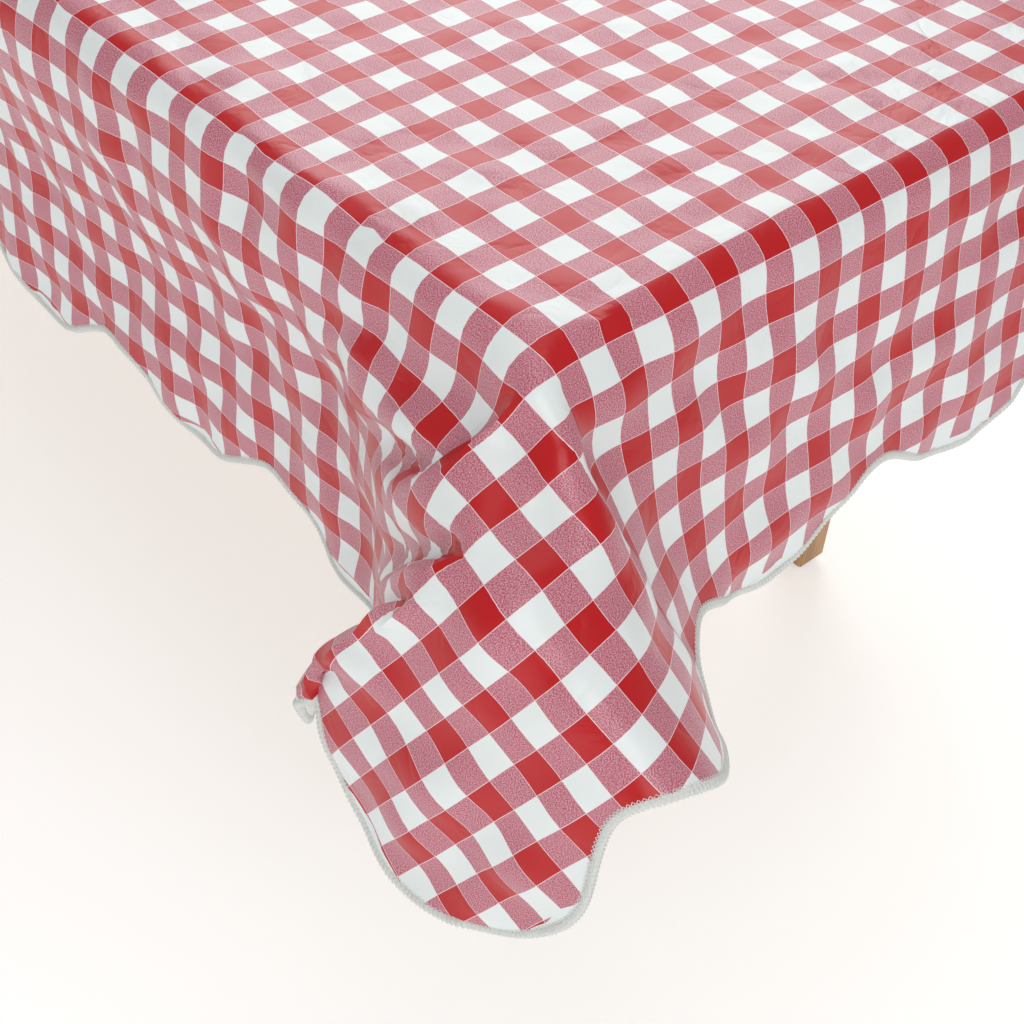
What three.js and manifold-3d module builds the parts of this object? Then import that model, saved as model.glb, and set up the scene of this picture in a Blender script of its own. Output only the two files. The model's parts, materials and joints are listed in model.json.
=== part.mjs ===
// A flannel-backed vinyl tablecloth with a crocheted edge, draped over a four-leg dining table.
// Millimetres, +Z up. The origin is on the floor under the middle of the draped cloth's outline, with +X
// along the table.
// The cloth is one long drape that lifts off; the table stands on four screw-out levelling glides.

import * as THREE from "three";
import Module from "manifold-3d";
import { ParametricGeometry } from "three/addons/geometries/ParametricGeometry.js";
import { mergeVertices } from "three/addons/utils/BufferGeometryUtils.js";

const wasm = await Module();
wasm.setup();

// ---- Driving dimensions: table ----
const tableLength = 1600;
const tableWidth = 800;
const tableHeight = 750;
const topThickness = 28;
const topEdgeRadius = 12;
const topCornerRadius = 22;
const endOverhang = 215;
const sideOverhang = 118;
const apronHeight = 85;
const apronThickness = 20;
const apronReveal = 4;
const legTopSize = 60;
const legFootSize = 40;
const legChamfer = 5;
const railWidth = 45;
const railThickness = 22;

// ---- Driving dimensions: joinery and hardware ----
const assemblyGap = 0.3;
const blockThickness = 26;
const blockHeight = 60;
const blockStandoff = 2;
const boltDiameter = 8;
const boltLegDepth = 34;
const washerDiameter = 22;
const washerThickness = 1.8;
const nutAcrossFlats = 13;
const nutThickness = 6.5;
const boltTail = 5;
const clipLeaf = 24;
const clipWidth = 20;
const clipFromLeg = 155;
const clipThickness = 2;
const screwDiameter = 4;
const screwLength = 16;
const screwHeadDiameter = 8;
const screwHeadHeight = 2.4;
const insertDiameter = 12;
const insertLength = 20;
const glidePadDiameter = 30;
const glidePadHeight = 9;
const glideStemDiameter = 8;
const glideStemLength = 18;
const glideScrewOut = 12;
const threadClearance = 0.15;

// ---- Driving dimensions: cloth ----
const clothLength = 2134;
const clothWidth = 1524;
const clothCornerRadius = 111;
const clothShiftX = 7;
const clothShiftY = 7;
const foldStandoff = 14;
const foldCornerRadius = 22;
const flannelThickness = 0.7;
const filmThickness = 0.5;
const clothLift = 0.5;
const clothBend = 13;
const edgingWidth = 9;
const edgingThickness = 6;
const edgingGap = 0.7;

// Scalloped hem: how deep the valleys cut in and how sharp they are. Half of each corner's own scallop
// stands at either end of a side, one narrow scallop may close the side before its last corner, and the
// rest is shared equally.
const scallopDepth = 41;
const scallopSharpness = 1.4;
const longSideScallops = { corner: 214, closing: 122, count: 7 };
const shortSideScallops = { corner: 204, closing: 0, count: 5 };

// How each side hangs, in the order front, right, back, left: flare is degrees outward from plumb, tuck is how far the lower part swings in
// under the table, ripple is the height of its slow waves.
const sides = [
  { flare: 1.5, tuck: 15, ripple: 2, waves: 2.2, scallops: longSideScallops },
  { flare: 8, tuck: 0, ripple: 5, waves: 1.6, scallops: shortSideScallops },
  { flare: 6, tuck: 0, ripple: 6, waves: 2.6, scallops: longSideScallops },
  { flare: 6, tuck: 0, ripple: 5, waves: 1.4, scallops: shortSideScallops },
];
const tuckStart = 70;
const tuckEnd = 175;
const tuckClear = 260;

// How each corner lobe leans: 0 wraps it round onto the side before it, 1 onto the side after it.
const lobeLeans = [0, 0.85, 0.3, 1];

// Horizontal direction of the cloth's straight fold lines round a leaning lobe, as parts of a unit
// length [along the side after the corner, along the side before it]; the rest of each line falls.
const lobeTurns = [
  [-0.09, 0.47],
  [-0.16, 0.38],
  [-0.29, 0.39],
  [-0.41, 0.41],
  [-0.39, 0.23],
  [-0.34, 0.03],
  [-0.29, -0.18],
  [-0.22, -0.39],
  [-0.14, -0.58],
  [0.01, -0.61],
  [0.15, -0.52],
  [0.23, -0.34],
  [0.38, -0.19],
];
const lobeBlend = 90;

// ---- Worked out from the above ----
const up = new THREE.Vector3(0, 0, 1);
const radians = THREE.MathUtils.degToRad;
const topUnderside = tableHeight - topThickness;
const frameTop = topUnderside - assemblyGap;
const legBottom = glidePadHeight + assemblyGap;
const legHeight = frameTop - legBottom;
const legX = tableLength / 2 - endOverhang - legTopSize / 2;
const legY = tableWidth / 2 - sideOverhang - legTopSize / 2;
const apronX = tableLength / 2 - endOverhang - apronReveal - apronThickness / 2;
const apronY = tableWidth / 2 - sideOverhang - apronReveal - apronThickness / 2;
const apronZ = frameTop - apronHeight / 2;
const apronInnerX = apronX - apronThickness / 2;
const apronInnerY = apronY - apronThickness / 2;
const foldX = tableLength / 2 + foldStandoff;
const foldY = tableWidth / 2 + foldStandoff;
const filmHalfLength = clothLength / 2 - edgingWidth - edgingGap;
const filmHalfWidth = clothWidth / 2 - edgingWidth - edgingGap;
const drops = [
  filmHalfWidth - clothShiftY - foldY,
  filmHalfLength + clothShiftX - foldX,
  filmHalfWidth + clothShiftY - foldY,
  filmHalfLength - clothShiftX - foldX,
];

// ---- Materials ----
const finish = (color, roughness, metalness = 0) =>
  new THREE.MeshStandardMaterial({ color, roughness, metalness });
const vinyl = finish("#d98f9c", 0.35);
const flannel = finish("#f2f0ea", 0.95);
const cottonTrim = finish("#f4f4f0", 0.9);
const oak = finish("#b98a58", 0.55);
const paleWood = finish("#cdb08a", 0.7);
const zincSteel = finish("#b9bcc0", 0.35, 1);
const nylon = finish("#3a3a3a", 0.5);

const object = new THREE.Group();

function addPiece(name, geometry, material) {
  const mesh = new THREE.Mesh(geometry, material);
  mesh.name = name;
  object.add(mesh);
}

// ---- Booleans ----
function toSolid(geometry) {
  const bare = geometry.clone();
  bare.deleteAttribute("normal");
  bare.deleteAttribute("uv");
  const merged = mergeVertices(bare, 1e-4);
  return new wasm.Manifold(
    new wasm.Mesh({
      numProp: 3,
      vertProperties: new Float32Array(merged.attributes.position.array),
      triVerts: new Uint32Array(merged.index.array),
    })
  );
}

function fromSolid(solid) {
  const mesh = solid.getMesh();
  const geometry = new THREE.BufferGeometry();
  geometry.setAttribute("position", new THREE.BufferAttribute(mesh.vertProperties, 3));
  geometry.setIndex(new THREE.BufferAttribute(mesh.triVerts, 1));
  geometry.computeVertexNormals();
  return geometry;
}

function cut(geometry, ...tools) {
  const body = tools.reduce((solid, tool) => solid.subtract(toSolid(tool)), toSolid(geometry));
  return fromSolid(body);
}

// A closed round rod between two points.
function rodBetween(start, end, radius, segments = 16) {
  const axis = end.clone().sub(start);
  const rod = new THREE.CylinderGeometry(radius, radius, axis.length(), segments);
  rod.applyQuaternion(new THREE.Quaternion().setFromUnitVectors(new THREE.Vector3(0, 1, 0), axis.normalize()));
  const middle = start.clone().add(end).multiplyScalar(0.5);
  return rod.translate(middle.x, middle.y, middle.z);
}

// Turns a shape lathed or extruded along +Z so that +Z points along the given direction.
function aim(geometry, direction, place) {
  geometry.applyQuaternion(new THREE.Quaternion().setFromUnitVectors(up, direction));
  return geometry.translate(place.x, place.y, place.z);
}

// A lathe about +Z from [radius, height] pairs that start and end on the axis.
function latheUp(profile, segments) {
  const points = profile.map(([radius, height]) => new THREE.Vector2(radius, height));
  return new THREE.LatheGeometry(points, segments).rotateX(Math.PI / 2);
}

function roundedRectangle(length, width, radius) {
  const x = length / 2;
  const y = width / 2;
  const shape = new THREE.Shape();
  shape.moveTo(x - radius, -y);
  shape.absarc(x - radius, -y + radius, radius, -Math.PI / 2, 0);
  shape.absarc(x - radius, y - radius, radius, 0, Math.PI / 2);
  shape.absarc(-x + radius, y - radius, radius, Math.PI / 2, Math.PI);
  shape.absarc(-x + radius, -y + radius, radius, Math.PI, 1.5 * Math.PI);
  return shape;
}

// ---- Table frame ----
const corners = [
  { name: "front_right", x: 1, y: -1 },
  { name: "back_right", x: 1, y: 1 },
  { name: "back_left", x: -1, y: 1 },
  { name: "front_left", x: -1, y: -1 },
];

// The hanger bolt runs level through each corner, from inside the leg towards the room.
function boltLine(corner) {
  const inward = new THREE.Vector3(-corner.x, -corner.y, 0).normalize();
  const legInner = new THREE.Vector3(
    corner.x * (legX - legTopSize / 2),
    corner.y * (legY - legTopSize / 2),
    apronZ
  );
  return { inward, legInner };
}

function taperedLeg() {
  const blank = new THREE.ExtrudeGeometry(
    roundedRectangle(legTopSize, legTopSize, legChamfer),
    { depth: legHeight, bevelEnabled: false, curveSegments: 2 }
  );
  const position = blank.attributes.position;
  for (let i = 0; i < position.count; i++) {
    const scale = THREE.MathUtils.lerp(legFootSize / legTopSize, 1, position.getZ(i) / legHeight);
    position.setXY(i, position.getX(i) * scale, position.getY(i) * scale);
  }
  return blank;
}

function addLegs() {
  const insertBore = new THREE.CylinderGeometry(
    insertDiameter / 2 + threadClearance,
    insertDiameter / 2 + threadClearance,
    insertLength + assemblyGap,
    16
  ).rotateX(Math.PI / 2);
  for (const corner of corners) {
    const { inward, legInner } = boltLine(corner);
    const place = new THREE.Vector3(corner.x * legX, corner.y * legY, legBottom);
    const blank = taperedLeg().translate(place.x, place.y, place.z);
    const footBore = insertBore.clone().translate(place.x, place.y, legBottom + insertLength / 2);
    const stemBore = new THREE.CylinderGeometry(
      glideStemDiameter / 2 + 1,
      glideStemDiameter / 2 + 1,
      glideStemLength + insertLength,
      16
    ).rotateX(Math.PI / 2).translate(place.x, place.y, legBottom + (glideStemLength + insertLength) / 2);
    const boltBore = rodBetween(
      legInner.clone().addScaledVector(inward, -(boltLegDepth + 1)),
      legInner.clone().addScaledVector(inward, legTopSize),
      boltDiameter / 2 + assemblyGap
    );
    addPiece(`leg_${corner.name}`, cut(blank, footBore, stemBore, boltBore), oak);
  }
}

function addTop() {
  const board = new THREE.ExtrudeGeometry(
    roundedRectangle(
      tableLength - 2 * topEdgeRadius,
      tableWidth - 2 * topEdgeRadius,
      topCornerRadius - topEdgeRadius
    ),
    {
      depth: topThickness - 2 * topEdgeRadius,
      bevelThickness: topEdgeRadius,
      bevelSize: topEdgeRadius,
      bevelSegments: 3,
      curveSegments: 4,
    }
  ).translate(0, 0, topUnderside + topEdgeRadius);
  const pilots = clips.map(({ place }) =>
    rodBetween(
      new THREE.Vector3(place.x, place.y, topUnderside - 1),
      new THREE.Vector3(place.x, place.y, topUnderside + screwLength - clipThickness),
      screwDiameter / 2 + threadClearance,
      8
    )
  );
  addPiece("table_top", cut(board, ...pilots), oak);
}

// Each apron runs between two legs, with a pilot hole at every clip that is screwed to it.
function addAprons() {
  const longRun = 2 * legX - legTopSize - 2 * assemblyGap;
  const shortRun = 2 * legY - legTopSize - 2 * assemblyGap;
  const boards = [
    { name: "apron_front", size: [longRun, apronThickness], place: [0, -apronY] },
    { name: "apron_right", size: [apronThickness, shortRun], place: [apronX, 0] },
    { name: "apron_back", size: [longRun, apronThickness], place: [0, apronY] },
    { name: "apron_left", size: [apronThickness, shortRun], place: [-apronX, 0] },
  ];
  for (const { name, size, place } of boards) {
    const board = new THREE.BoxGeometry(size[0], size[1], apronHeight).translate(place[0], place[1], apronZ);
    const pilots = clips
      .filter((clip) => clip.apron === name)
      .map((clip) => rodBetween(
        clip.wall.clone().addScaledVector(clip.outward, -1),
        clip.wall.clone().addScaledVector(clip.outward, screwLength - clipThickness),
        screwDiameter / 2 + threadClearance,
        8
      ));
    addPiece(name, pilots.length ? cut(board, ...pilots) : board, oak);
  }
  const railSpan = 2 * apronInnerY - 2 * assemblyGap;
  const rail = new THREE.BoxGeometry(railWidth, railSpan, railThickness);
  addPiece("cross_rail", rail.translate(0, 0, frameTop - railThickness / 2), paleWood);
}

// ---- Corner joints: glued block, hanger bolt, washer and nut ----
function addCornerJoints() {
  const legInnerReach = legTopSize - apronReveal - apronThickness;
  const nearSum = 2 * legInnerReach + blockStandoff * Math.SQRT2;
  const farSum = nearSum + blockThickness * Math.SQRT2;
  for (const corner of corners) {
    const { inward, legInner } = boltLine(corner);
    const outline = [
      [nearSum - assemblyGap, assemblyGap],
      [farSum - assemblyGap, assemblyGap],
      [assemblyGap, farSum - assemblyGap],
      [assemblyGap, nearSum - assemblyGap],
    ].map(([a, b]) => new THREE.Vector2(
      corner.x * (apronInnerX - a),
      corner.y * (apronInnerY - b)
    ));
    const block = new THREE.ExtrudeGeometry(new THREE.Shape(outline), {
      depth: blockHeight,
      bevelEnabled: false,
    }).translate(0, 0, apronZ - blockHeight / 2);
    const bore = rodBetween(
      legInner,
      legInner.clone().addScaledVector(inward, 3 * blockThickness),
      boltDiameter / 2 + 2 * assemblyGap
    );
    addPiece(`corner_block_${corner.name}`, cut(block, bore), paleWood);

    const blockFace = blockStandoff + blockThickness;
    const washerStart = blockFace + assemblyGap;
    const nutStart = washerStart + washerThickness + assemblyGap;
    const boltEnd = nutStart + nutThickness + boltTail;
    const bolt = rodBetween(
      legInner.clone().addScaledVector(inward, -boltLegDepth),
      legInner.clone().addScaledVector(inward, boltEnd),
      boltDiameter / 2
    );
    addPiece(`hanger_bolt_${corner.name}`, bolt, zincSteel);
    addPiece(
      `washer_${corner.name}`,
      ring(washerDiameter / 2, boltDiameter / 2 + assemblyGap, washerThickness, 16, inward,
        legInner.clone().addScaledVector(inward, washerStart)),
      zincSteel
    );
    addPiece(
      `hex_nut_${corner.name}`,
      ring(nutAcrossFlats / Math.sqrt(3), boltDiameter / 2 + threadClearance, nutThickness, 6, inward,
        legInner.clone().addScaledVector(inward, nutStart)),
      zincSteel
    );
  }
}

// A flat ring with a round hole, its lower face at the given place; six segments make a hexagon.
function ring(outerRadius, holeRadius, thickness, segments, direction, place) {
  const outline = Array.from({ length: segments }, (_, i) => {
    const turn = (i / segments) * 2 * Math.PI;
    return new THREE.Vector2(outerRadius * Math.cos(turn), outerRadius * Math.sin(turn));
  });
  const shape = new THREE.Shape(outline);
  shape.holes.push(new THREE.Path().absarc(0, 0, holeRadius, 0, 2 * Math.PI, true));
  const blank = new THREE.ExtrudeGeometry(shape, {
    depth: thickness,
    bevelEnabled: false,
    curveSegments: 16,
  });
  return aim(blank, direction, place);
}

// ---- Angle clips that hold the top to the aprons, and their screws ----
const clipAlong = legX - clipFromLeg;
const clips = [
  ["front_right", clipAlong, -1],
  ["front_left", -clipAlong, -1],
  ["back_right", clipAlong, 1],
  ["back_left", -clipAlong, 1],
].map(([name, x, y]) => clipOnApron(name, `apron_${y < 0 ? "front" : "back"}`, x, y * apronInnerY, 0, y));
clips.push(clipOnApron("end_right", "apron_right", apronInnerX, 0, 1, 0));
clips.push(clipOnApron("end_left", "apron_left", -apronInnerX, 0, -1, 0));

function clipOnApron(name, apron, x, y, outX, outY) {
  const outward = new THREE.Vector3(outX, outY, 0);
  const foot = new THREE.Vector3(x, y, 0).addScaledVector(outward, -assemblyGap);
  const place = foot.clone().addScaledVector(outward, -clipLeaf * 0.6).setZ(topUnderside);
  const wall = foot.clone().setZ(topUnderside - clipLeaf * 0.6);
  return { name, apron, outward, foot, place, wall };
}

function screw(direction, seat) {
  const headRadius = screwHeadDiameter / 2;
  const shank = screwDiameter / 2;
  const profile = [
    [0, -screwHeadHeight - assemblyGap],
    [headRadius * 0.7, -screwHeadHeight - assemblyGap],
    [headRadius, -assemblyGap],
    [shank, -assemblyGap],
    [shank, screwLength - shank - clipThickness],
    [0, screwLength - clipThickness - assemblyGap],
  ];
  return aim(latheUp(profile, 8), direction, seat);
}

function addClips() {
  for (const clip of clips) {
    const side = new THREE.Vector3(-clip.outward.y, clip.outward.x, 0);
    const outline = [
      [0, 0],
      [-clipLeaf, 0],
      [-clipLeaf, -clipThickness],
      [-clipThickness, -clipThickness],
      [-clipThickness, -clipLeaf],
      [0, -clipLeaf],
    ].map(([across, height]) => new THREE.Vector2(across, height));
    const angle = new THREE.ExtrudeGeometry(new THREE.Shape(outline), {
      depth: clipWidth,
      bevelEnabled: false,
    });
    angle.applyMatrix4(new THREE.Matrix4().makeBasis(clip.outward, up, side.clone().negate()));
    const start = clip.foot.clone().addScaledVector(side, clipWidth / 2).setZ(topUnderside - assemblyGap);
    angle.translate(start.x, start.y, start.z);
    const holeRadius = screwDiameter / 2 + assemblyGap;
    const topHole = rodBetween(
      clip.place.clone().addScaledVector(up, -clipLeaf / 2),
      clip.place.clone().addScaledVector(up, 1),
      holeRadius,
      8
    );
    const wallHole = rodBetween(
      clip.wall.clone().addScaledVector(clip.outward, -clipLeaf / 2),
      clip.wall.clone().addScaledVector(clip.outward, 1),
      holeRadius,
      8
    );
    addPiece(`top_clip_${clip.name}`, cut(angle, topHole, wallHole), zincSteel);
    const topSeat = clip.place.clone().addScaledVector(up, -clipThickness - assemblyGap);
    const wallSeat = clip.wall.clone().addScaledVector(clip.outward, -clipThickness);
    addPiece(`top_screw_${clip.name}`, screw(up, topSeat), zincSteel);
    addPiece(`apron_screw_${clip.name}`, screw(clip.outward, wallSeat), zincSteel);
  }
}

// ---- Levelling glides: a threaded insert in each foot and a pad that screws down out of it ----
function addGlides() {
  const padRadius = glidePadDiameter / 2;
  const stem = glideStemDiameter / 2;
  const insertHole = stem + threadClearance;
  for (const corner of corners) {
    const x = corner.x * legX;
    const y = corner.y * legY;
    const sleeve = [
      [insertHole, 0],
      [insertDiameter / 2, 0],
      [insertDiameter / 2, insertLength],
      [insertHole, insertLength],
      [insertHole, 0],
    ];
    const insert = latheUp(sleeve, 16).translate(x, y, legBottom);
    addPiece(`threaded_insert_${corner.name}`, insert, zincSteel);
    const foot = [
      [0, 0],
      [padRadius - 3, 0],
      [padRadius, 2],
      [padRadius, glidePadHeight - 3],
      [padRadius - 4, glidePadHeight],
      [stem, glidePadHeight],
      [stem, glidePadHeight + glideStemLength + glideScrewOut],
      [0, glidePadHeight + glideStemLength + glideScrewOut],
    ];
    addPiece(`levelling_glide_${corner.name}`, latheUp(foot, 16).translate(x, y, 0), nylon);
  }
}

// ---- Cloth drape ----
// Each corner of the table is the tip of a cone of cloth. Every straight line of the flat cloth that
// passes through the tip stays straight and keeps its length, and neighbouring lines keep their angle.
const normals = [
  new THREE.Vector3(0, -1, 0),
  new THREE.Vector3(1, 0, 0),
  new THREE.Vector3(0, 1, 0),
  new THREE.Vector3(-1, 0, 0),
];
const fanStart = radians(60);
const fanSweep = radians(150);
const fullSweep = radians(270);
const spreadLimits = [0.3, 1.45];
const steepestLine = 0.05;
const halvings = 24;
const cornerFlare = 12;

function fallLine(side) {
  const flare = radians(sides[side].flare);
  return normals[side].clone().multiplyScalar(Math.sin(flare)).addScaledVector(up, -Math.cos(flare));
}

// Mixes the leaning lobe with its mirror image, then draws it in or out until the fold lines
// sweep exactly the angle that the flat cloth has there.
function lobeCurve(corner) {
  const before = corner;
  const after = (corner + 1) % 4;
  const alongBefore = normals[after].clone().negate();
  const alongAfter = normals[before].clone().negate();
  const lean = lobeLeans[corner];
  const turns = lobeTurns.map(([a, b], i) => {
    const [mirrorB, mirrorA] = lobeTurns[lobeTurns.length - 1 - i];
    return [THREE.MathUtils.lerp(a, mirrorA, lean), THREE.MathUtils.lerp(b, mirrorB, lean)];
  });
  const start = alongBefore.clone().multiplyScalar(Math.cos(fanStart))
    .addScaledVector(fallLine(before), Math.sin(fanStart));
  const end = alongAfter.clone().multiplyScalar(Math.cos(fanStart))
    .addScaledVector(fallLine(after), Math.sin(fanStart));
  const curveAt = (spread) => {
    const points = turns.map(([a, b]) => {
      const level = alongAfter.clone().multiplyScalar(a * spread).addScaledVector(alongBefore, b * spread);
      return level.setZ(-Math.sqrt(Math.max(steepestLine, 1 - level.lengthSq())));
    });
    return new THREE.CatmullRomCurve3([start, ...points, end], false, "centripetal");
  };
  let [low, high] = spreadLimits;
  for (let i = 0; i < halvings; i++) {
    const middle = (low + high) / 2;
    if (curveAt(middle).getLength() < fanSweep) low = middle;
    else high = middle;
  }
  return { curve: curveAt(low), alongBefore, alongAfter };
}
const lobes = [0, 1, 2, 3].map(lobeCurve);
const tips = [
  new THREE.Vector3(foldX, -foldY, 0),
  new THREE.Vector3(foldX, foldY, 0),
  new THREE.Vector3(-foldX, foldY, 0),
  new THREE.Vector3(-foldX, -foldY, 0),
];

// Where the cone of one corner takes a flat point, given along both sides that meet there.
function conePoint(corner, alongBefore, alongAfter) {
  const lobe = lobes[corner];
  const reach = Math.hypot(alongBefore, alongAfter);
  let turn = Math.atan2(-alongAfter, alongBefore);
  if (turn < 0) turn += 2 * Math.PI;
  const direction = new THREE.Vector3();
  if (turn < fanStart) {
    direction.copy(lobe.alongBefore).multiplyScalar(Math.cos(turn))
      .addScaledVector(fallLine(corner), Math.sin(turn));
  } else if (turn > fanStart + fanSweep) {
    const left = fullSweep - turn;
    direction.copy(lobe.alongAfter).multiplyScalar(Math.cos(left))
      .addScaledVector(fallLine((corner + 1) % 4), Math.sin(left));
  } else {
    lobe.curve.getPointAt((turn - fanStart) / fanSweep, direction).normalize();
  }
  return tips[corner].clone().addScaledVector(direction, reach);
}

const smooth = THREE.MathUtils.smoothstep;

// A station is one flat line from the table's edge out to the hem. It keeps its place on the edge,
// its outward direction, the length of cloth on it and where each length along it ends up.
function sideStation(side, share) {
  const before = (side + 3) % 4;
  const length = side % 2 ? 2 * foldY : 2 * foldX;
  const along = share * length;
  const direction = lobes[before].alongAfter;
  const edge = tips[before].clone()
    .addScaledVector(direction, foldCornerRadius + (length - 2 * foldCornerRadius) * share);
  const { tuck, ripple, waves } = sides[side];
  const tuckHere = tuck * smooth(along, 0, tuckClear) * smooth(length - along, 0, tuckClear);
  const wave = ripple * Math.sin(2 * Math.PI * waves * share);
  const hang = (distance) => {
    const fromBefore = conePoint(before, -distance, along);
    const fromAfter = conePoint(side, length - along, -distance);
    const point = fromBefore.lerp(fromAfter, smooth(share, 0.25, 0.75));
    const shift = wave * (distance / drops[side]) - tuckHere * smooth(distance, tuckStart, tuckEnd);
    return point.addScaledVector(normals[side], shift);
  };
  const inset = hemInset(side, along + drops[before]);
  return { edge, outward: normals[side], flare: sides[side].flare, length: drops[side] - inset, hang };
}

function cornerStation(corner, share) {
  const turn = (share * Math.PI) / 2;
  const after = (corner + 1) % 4;
  const outward = normals[corner].clone().multiplyScalar(Math.cos(turn))
    .addScaledVector(normals[after], Math.sin(turn));
  const centre = tips[corner].clone()
    .addScaledVector(normals[corner], -foldCornerRadius)
    .addScaledVector(normals[after], -foldCornerRadius);
  const edge = centre.addScaledVector(outward, foldCornerRadius);
  const hang = (distance) =>
    conePoint(corner, -distance * Math.sin(turn), -distance * Math.cos(turn));
  const flare = THREE.MathUtils.lerp(sides[corner].flare, sides[after].flare, share)
    + cornerFlare * Math.sin(2 * turn);
  return { edge, outward, flare, length: cornerReach(corner, turn), hang };
}

// How far the scalloped hem lies inside the straight one, at a distance along a side from the end of
// the flat cloth. Valleys lie where scallops meet; the corner itself is left whole.
function hemInset(side, distance) {
  const total = 2 * (side % 2 ? filmHalfWidth : filmHalfLength);
  const { corner, closing, count } = sides[side].scallops;
  const toEnd = total - distance;
  const fromEnd = Math.min(distance, toEnd);
  if (fromEnd < corner) return scallopCut(Math.max(0.5, fromEnd / corner));
  if (toEnd < corner + closing) return scallopCut((toEnd - corner) / closing);
  return scallopCut(((distance - corner) / (total - 2 * corner - closing)) * count);
}

// How far a scallop's hem is cut in, at a share of its width: nothing in the middle, the full depth at
// either end.
function scallopCut(share) {
  return scallopDepth * (0.5 + 0.5 * Math.cos(2 * Math.PI * share)) ** scallopSharpness;
}

// Whether the flat cloth at a corner reaches a point, given by its distances out past the two folds.
function clothReaches(corner, outBefore, outAfter) {
  const after = (corner + 1) % 4;
  const fromBefore = drops[corner] - outBefore;
  const fromAfter = drops[after] - outAfter;
  if (fromBefore < hemInset(corner, fromAfter) || fromAfter < hemInset(after, fromBefore)) return false;
  const roundBefore = Math.max(0, clothCornerRadius - fromBefore);
  const roundAfter = Math.max(0, clothCornerRadius - fromAfter);
  return Math.hypot(roundBefore, roundAfter) <= clothCornerRadius;
}

// Distance from the folded corner to the hem of the rounded cloth corner, at an angle, by halving.
function cornerReach(corner, turn) {
  let low = 0;
  let high = drops[corner] + drops[(corner + 1) % 4];
  for (let i = 0; i < halvings; i++) {
    const middle = (low + high) / 2;
    if (clothReaches(corner, middle * Math.cos(turn), middle * Math.sin(turn))) low = middle;
    else high = middle;
  }
  return low;
}

const longStations = 44;
const shortStations = 22;
const cornerStations = 14;
const stations = [];
for (let side = 0; side < 4; side++) {
  const count = side % 2 ? shortStations : longStations;
  for (let i = 0; i < count; i++) stations.push(sideStation(side, i / count));
  for (let i = 0; i < cornerStations; i++) stations.push(cornerStation(side, i / cornerStations));
}

// Rings of the sheet, from the flat top over the bend to the hem. Bend rings follow a parabola
// whose corner is the table's edge; the rest are shares of the station's length.
const bendShares = [0, 0.35, 0.7, 1];
const hangShares = [0.34, 0.67, 1];

function sheetPoint(station, ringIndex) {
  const { edge, outward, flare, length, hang } = station;
  const tilt = radians(flare);
  const fall = outward.clone().multiplyScalar(Math.sin(tilt)).addScaledVector(up, -Math.cos(tilt));
  if (ringIndex < bendShares.length) {
    const share = bendShares[ringIndex];
    return edge.clone()
      .addScaledVector(outward, -clothBend * (1 - share) ** 2)
      .addScaledVector(fall, clothBend * share ** 2);
  }
  const distance = clothBend + (length - clothBend) * hangShares[ringIndex - bendShares.length];
  const plain = edge.clone().addScaledVector(fall, distance);
  return plain.lerp(hang(distance), smooth(distance, 0, lobeBlend));
}

const ringCount = bendShares.length + hangShares.length;
const sheet = stations.map((station) =>
  Array.from({ length: ringCount }, (_, i) => sheetPoint(station, i))
);
const wrap = (index) => (index + sheet.length) % sheet.length;

// The sheet's outward direction at each point, across its neighbours.
const facing = sheet.map((line, i) =>
  line.map((_, j) => {
    if (j === 0) return up.clone();
    const along = sheet[wrap(i + 1)][j].clone().sub(sheet[wrap(i - 1)][j]);
    const down = line[Math.min(j + 1, ringCount - 1)].clone().sub(line[j - 1]);
    return down.cross(along).normalize();
  })
);

const sheetHeight = tableHeight + clothLift;
const raised = (i, j, offset) =>
  sheet[wrap(i)][j].clone().addScaledVector(facing[wrap(i)][j], offset).addScaledVector(up, sheetHeight);

// Every four-sided patch of the sheet is split along its shorter diagonal, the same way in each layer,
// so that layers laid on one another stay parallel.
const patches = sheet.flatMap((line, i) =>
  line.slice(1).map((_, j) => {
    const next = sheet[wrap(i + 1)];
    const forward = line[j].distanceTo(next[j + 1]) < next[j].distanceTo(line[j + 1]);
    return { i, j, forward };
  })
);

// A layer of the cloth between two offsets: an under face, an upper face and a band round the hem.
function clothLayer(innerOffset, outerOffset) {
  const count = sheet.length;
  const faceSize = count * ringCount + 1;
  const positions = [];
  for (const offset of [innerOffset, outerOffset]) {
    positions.push(0, 0, sheetHeight + offset);
    for (let i = 0; i < count; i++) {
      for (let j = 0; j < ringCount; j++) positions.push(...raised(i, j, offset).toArray());
    }
  }
  const at = (face, i, j) => face * faceSize + 1 + wrap(i) * ringCount + j;
  const index = [];
  const addTriangle = (face, a, b, c) => index.push(a, ...(face ? [b, c] : [c, b]));
  for (const face of [0, 1]) {
    for (let i = 0; i < count; i++) addTriangle(face, face * faceSize, at(face, i, 0), at(face, i + 1, 0));
    for (const { i, j, forward } of patches) {
      const [a, b, c, d] = [at(face, i, j), at(face, i, j + 1), at(face, i + 1, j + 1), at(face, i + 1, j)];
      addTriangle(face, a, b, forward ? c : d);
      addTriangle(face, forward ? a : b, c, d);
    }
  }
  const last = ringCount - 1;
  for (let i = 0; i < count; i++) {
    const [a, b, c, d] = [at(0, i, last), at(0, i + 1, last), at(1, i + 1, last), at(1, i, last)];
    index.push(a, b, c, a, c, d);
  }
  const geometry = new THREE.BufferGeometry();
  geometry.setAttribute("position", new THREE.Float32BufferAttribute(positions, 3));
  geometry.setIndex(index);
  geometry.computeVertexNormals();
  return geometry;
}

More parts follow.
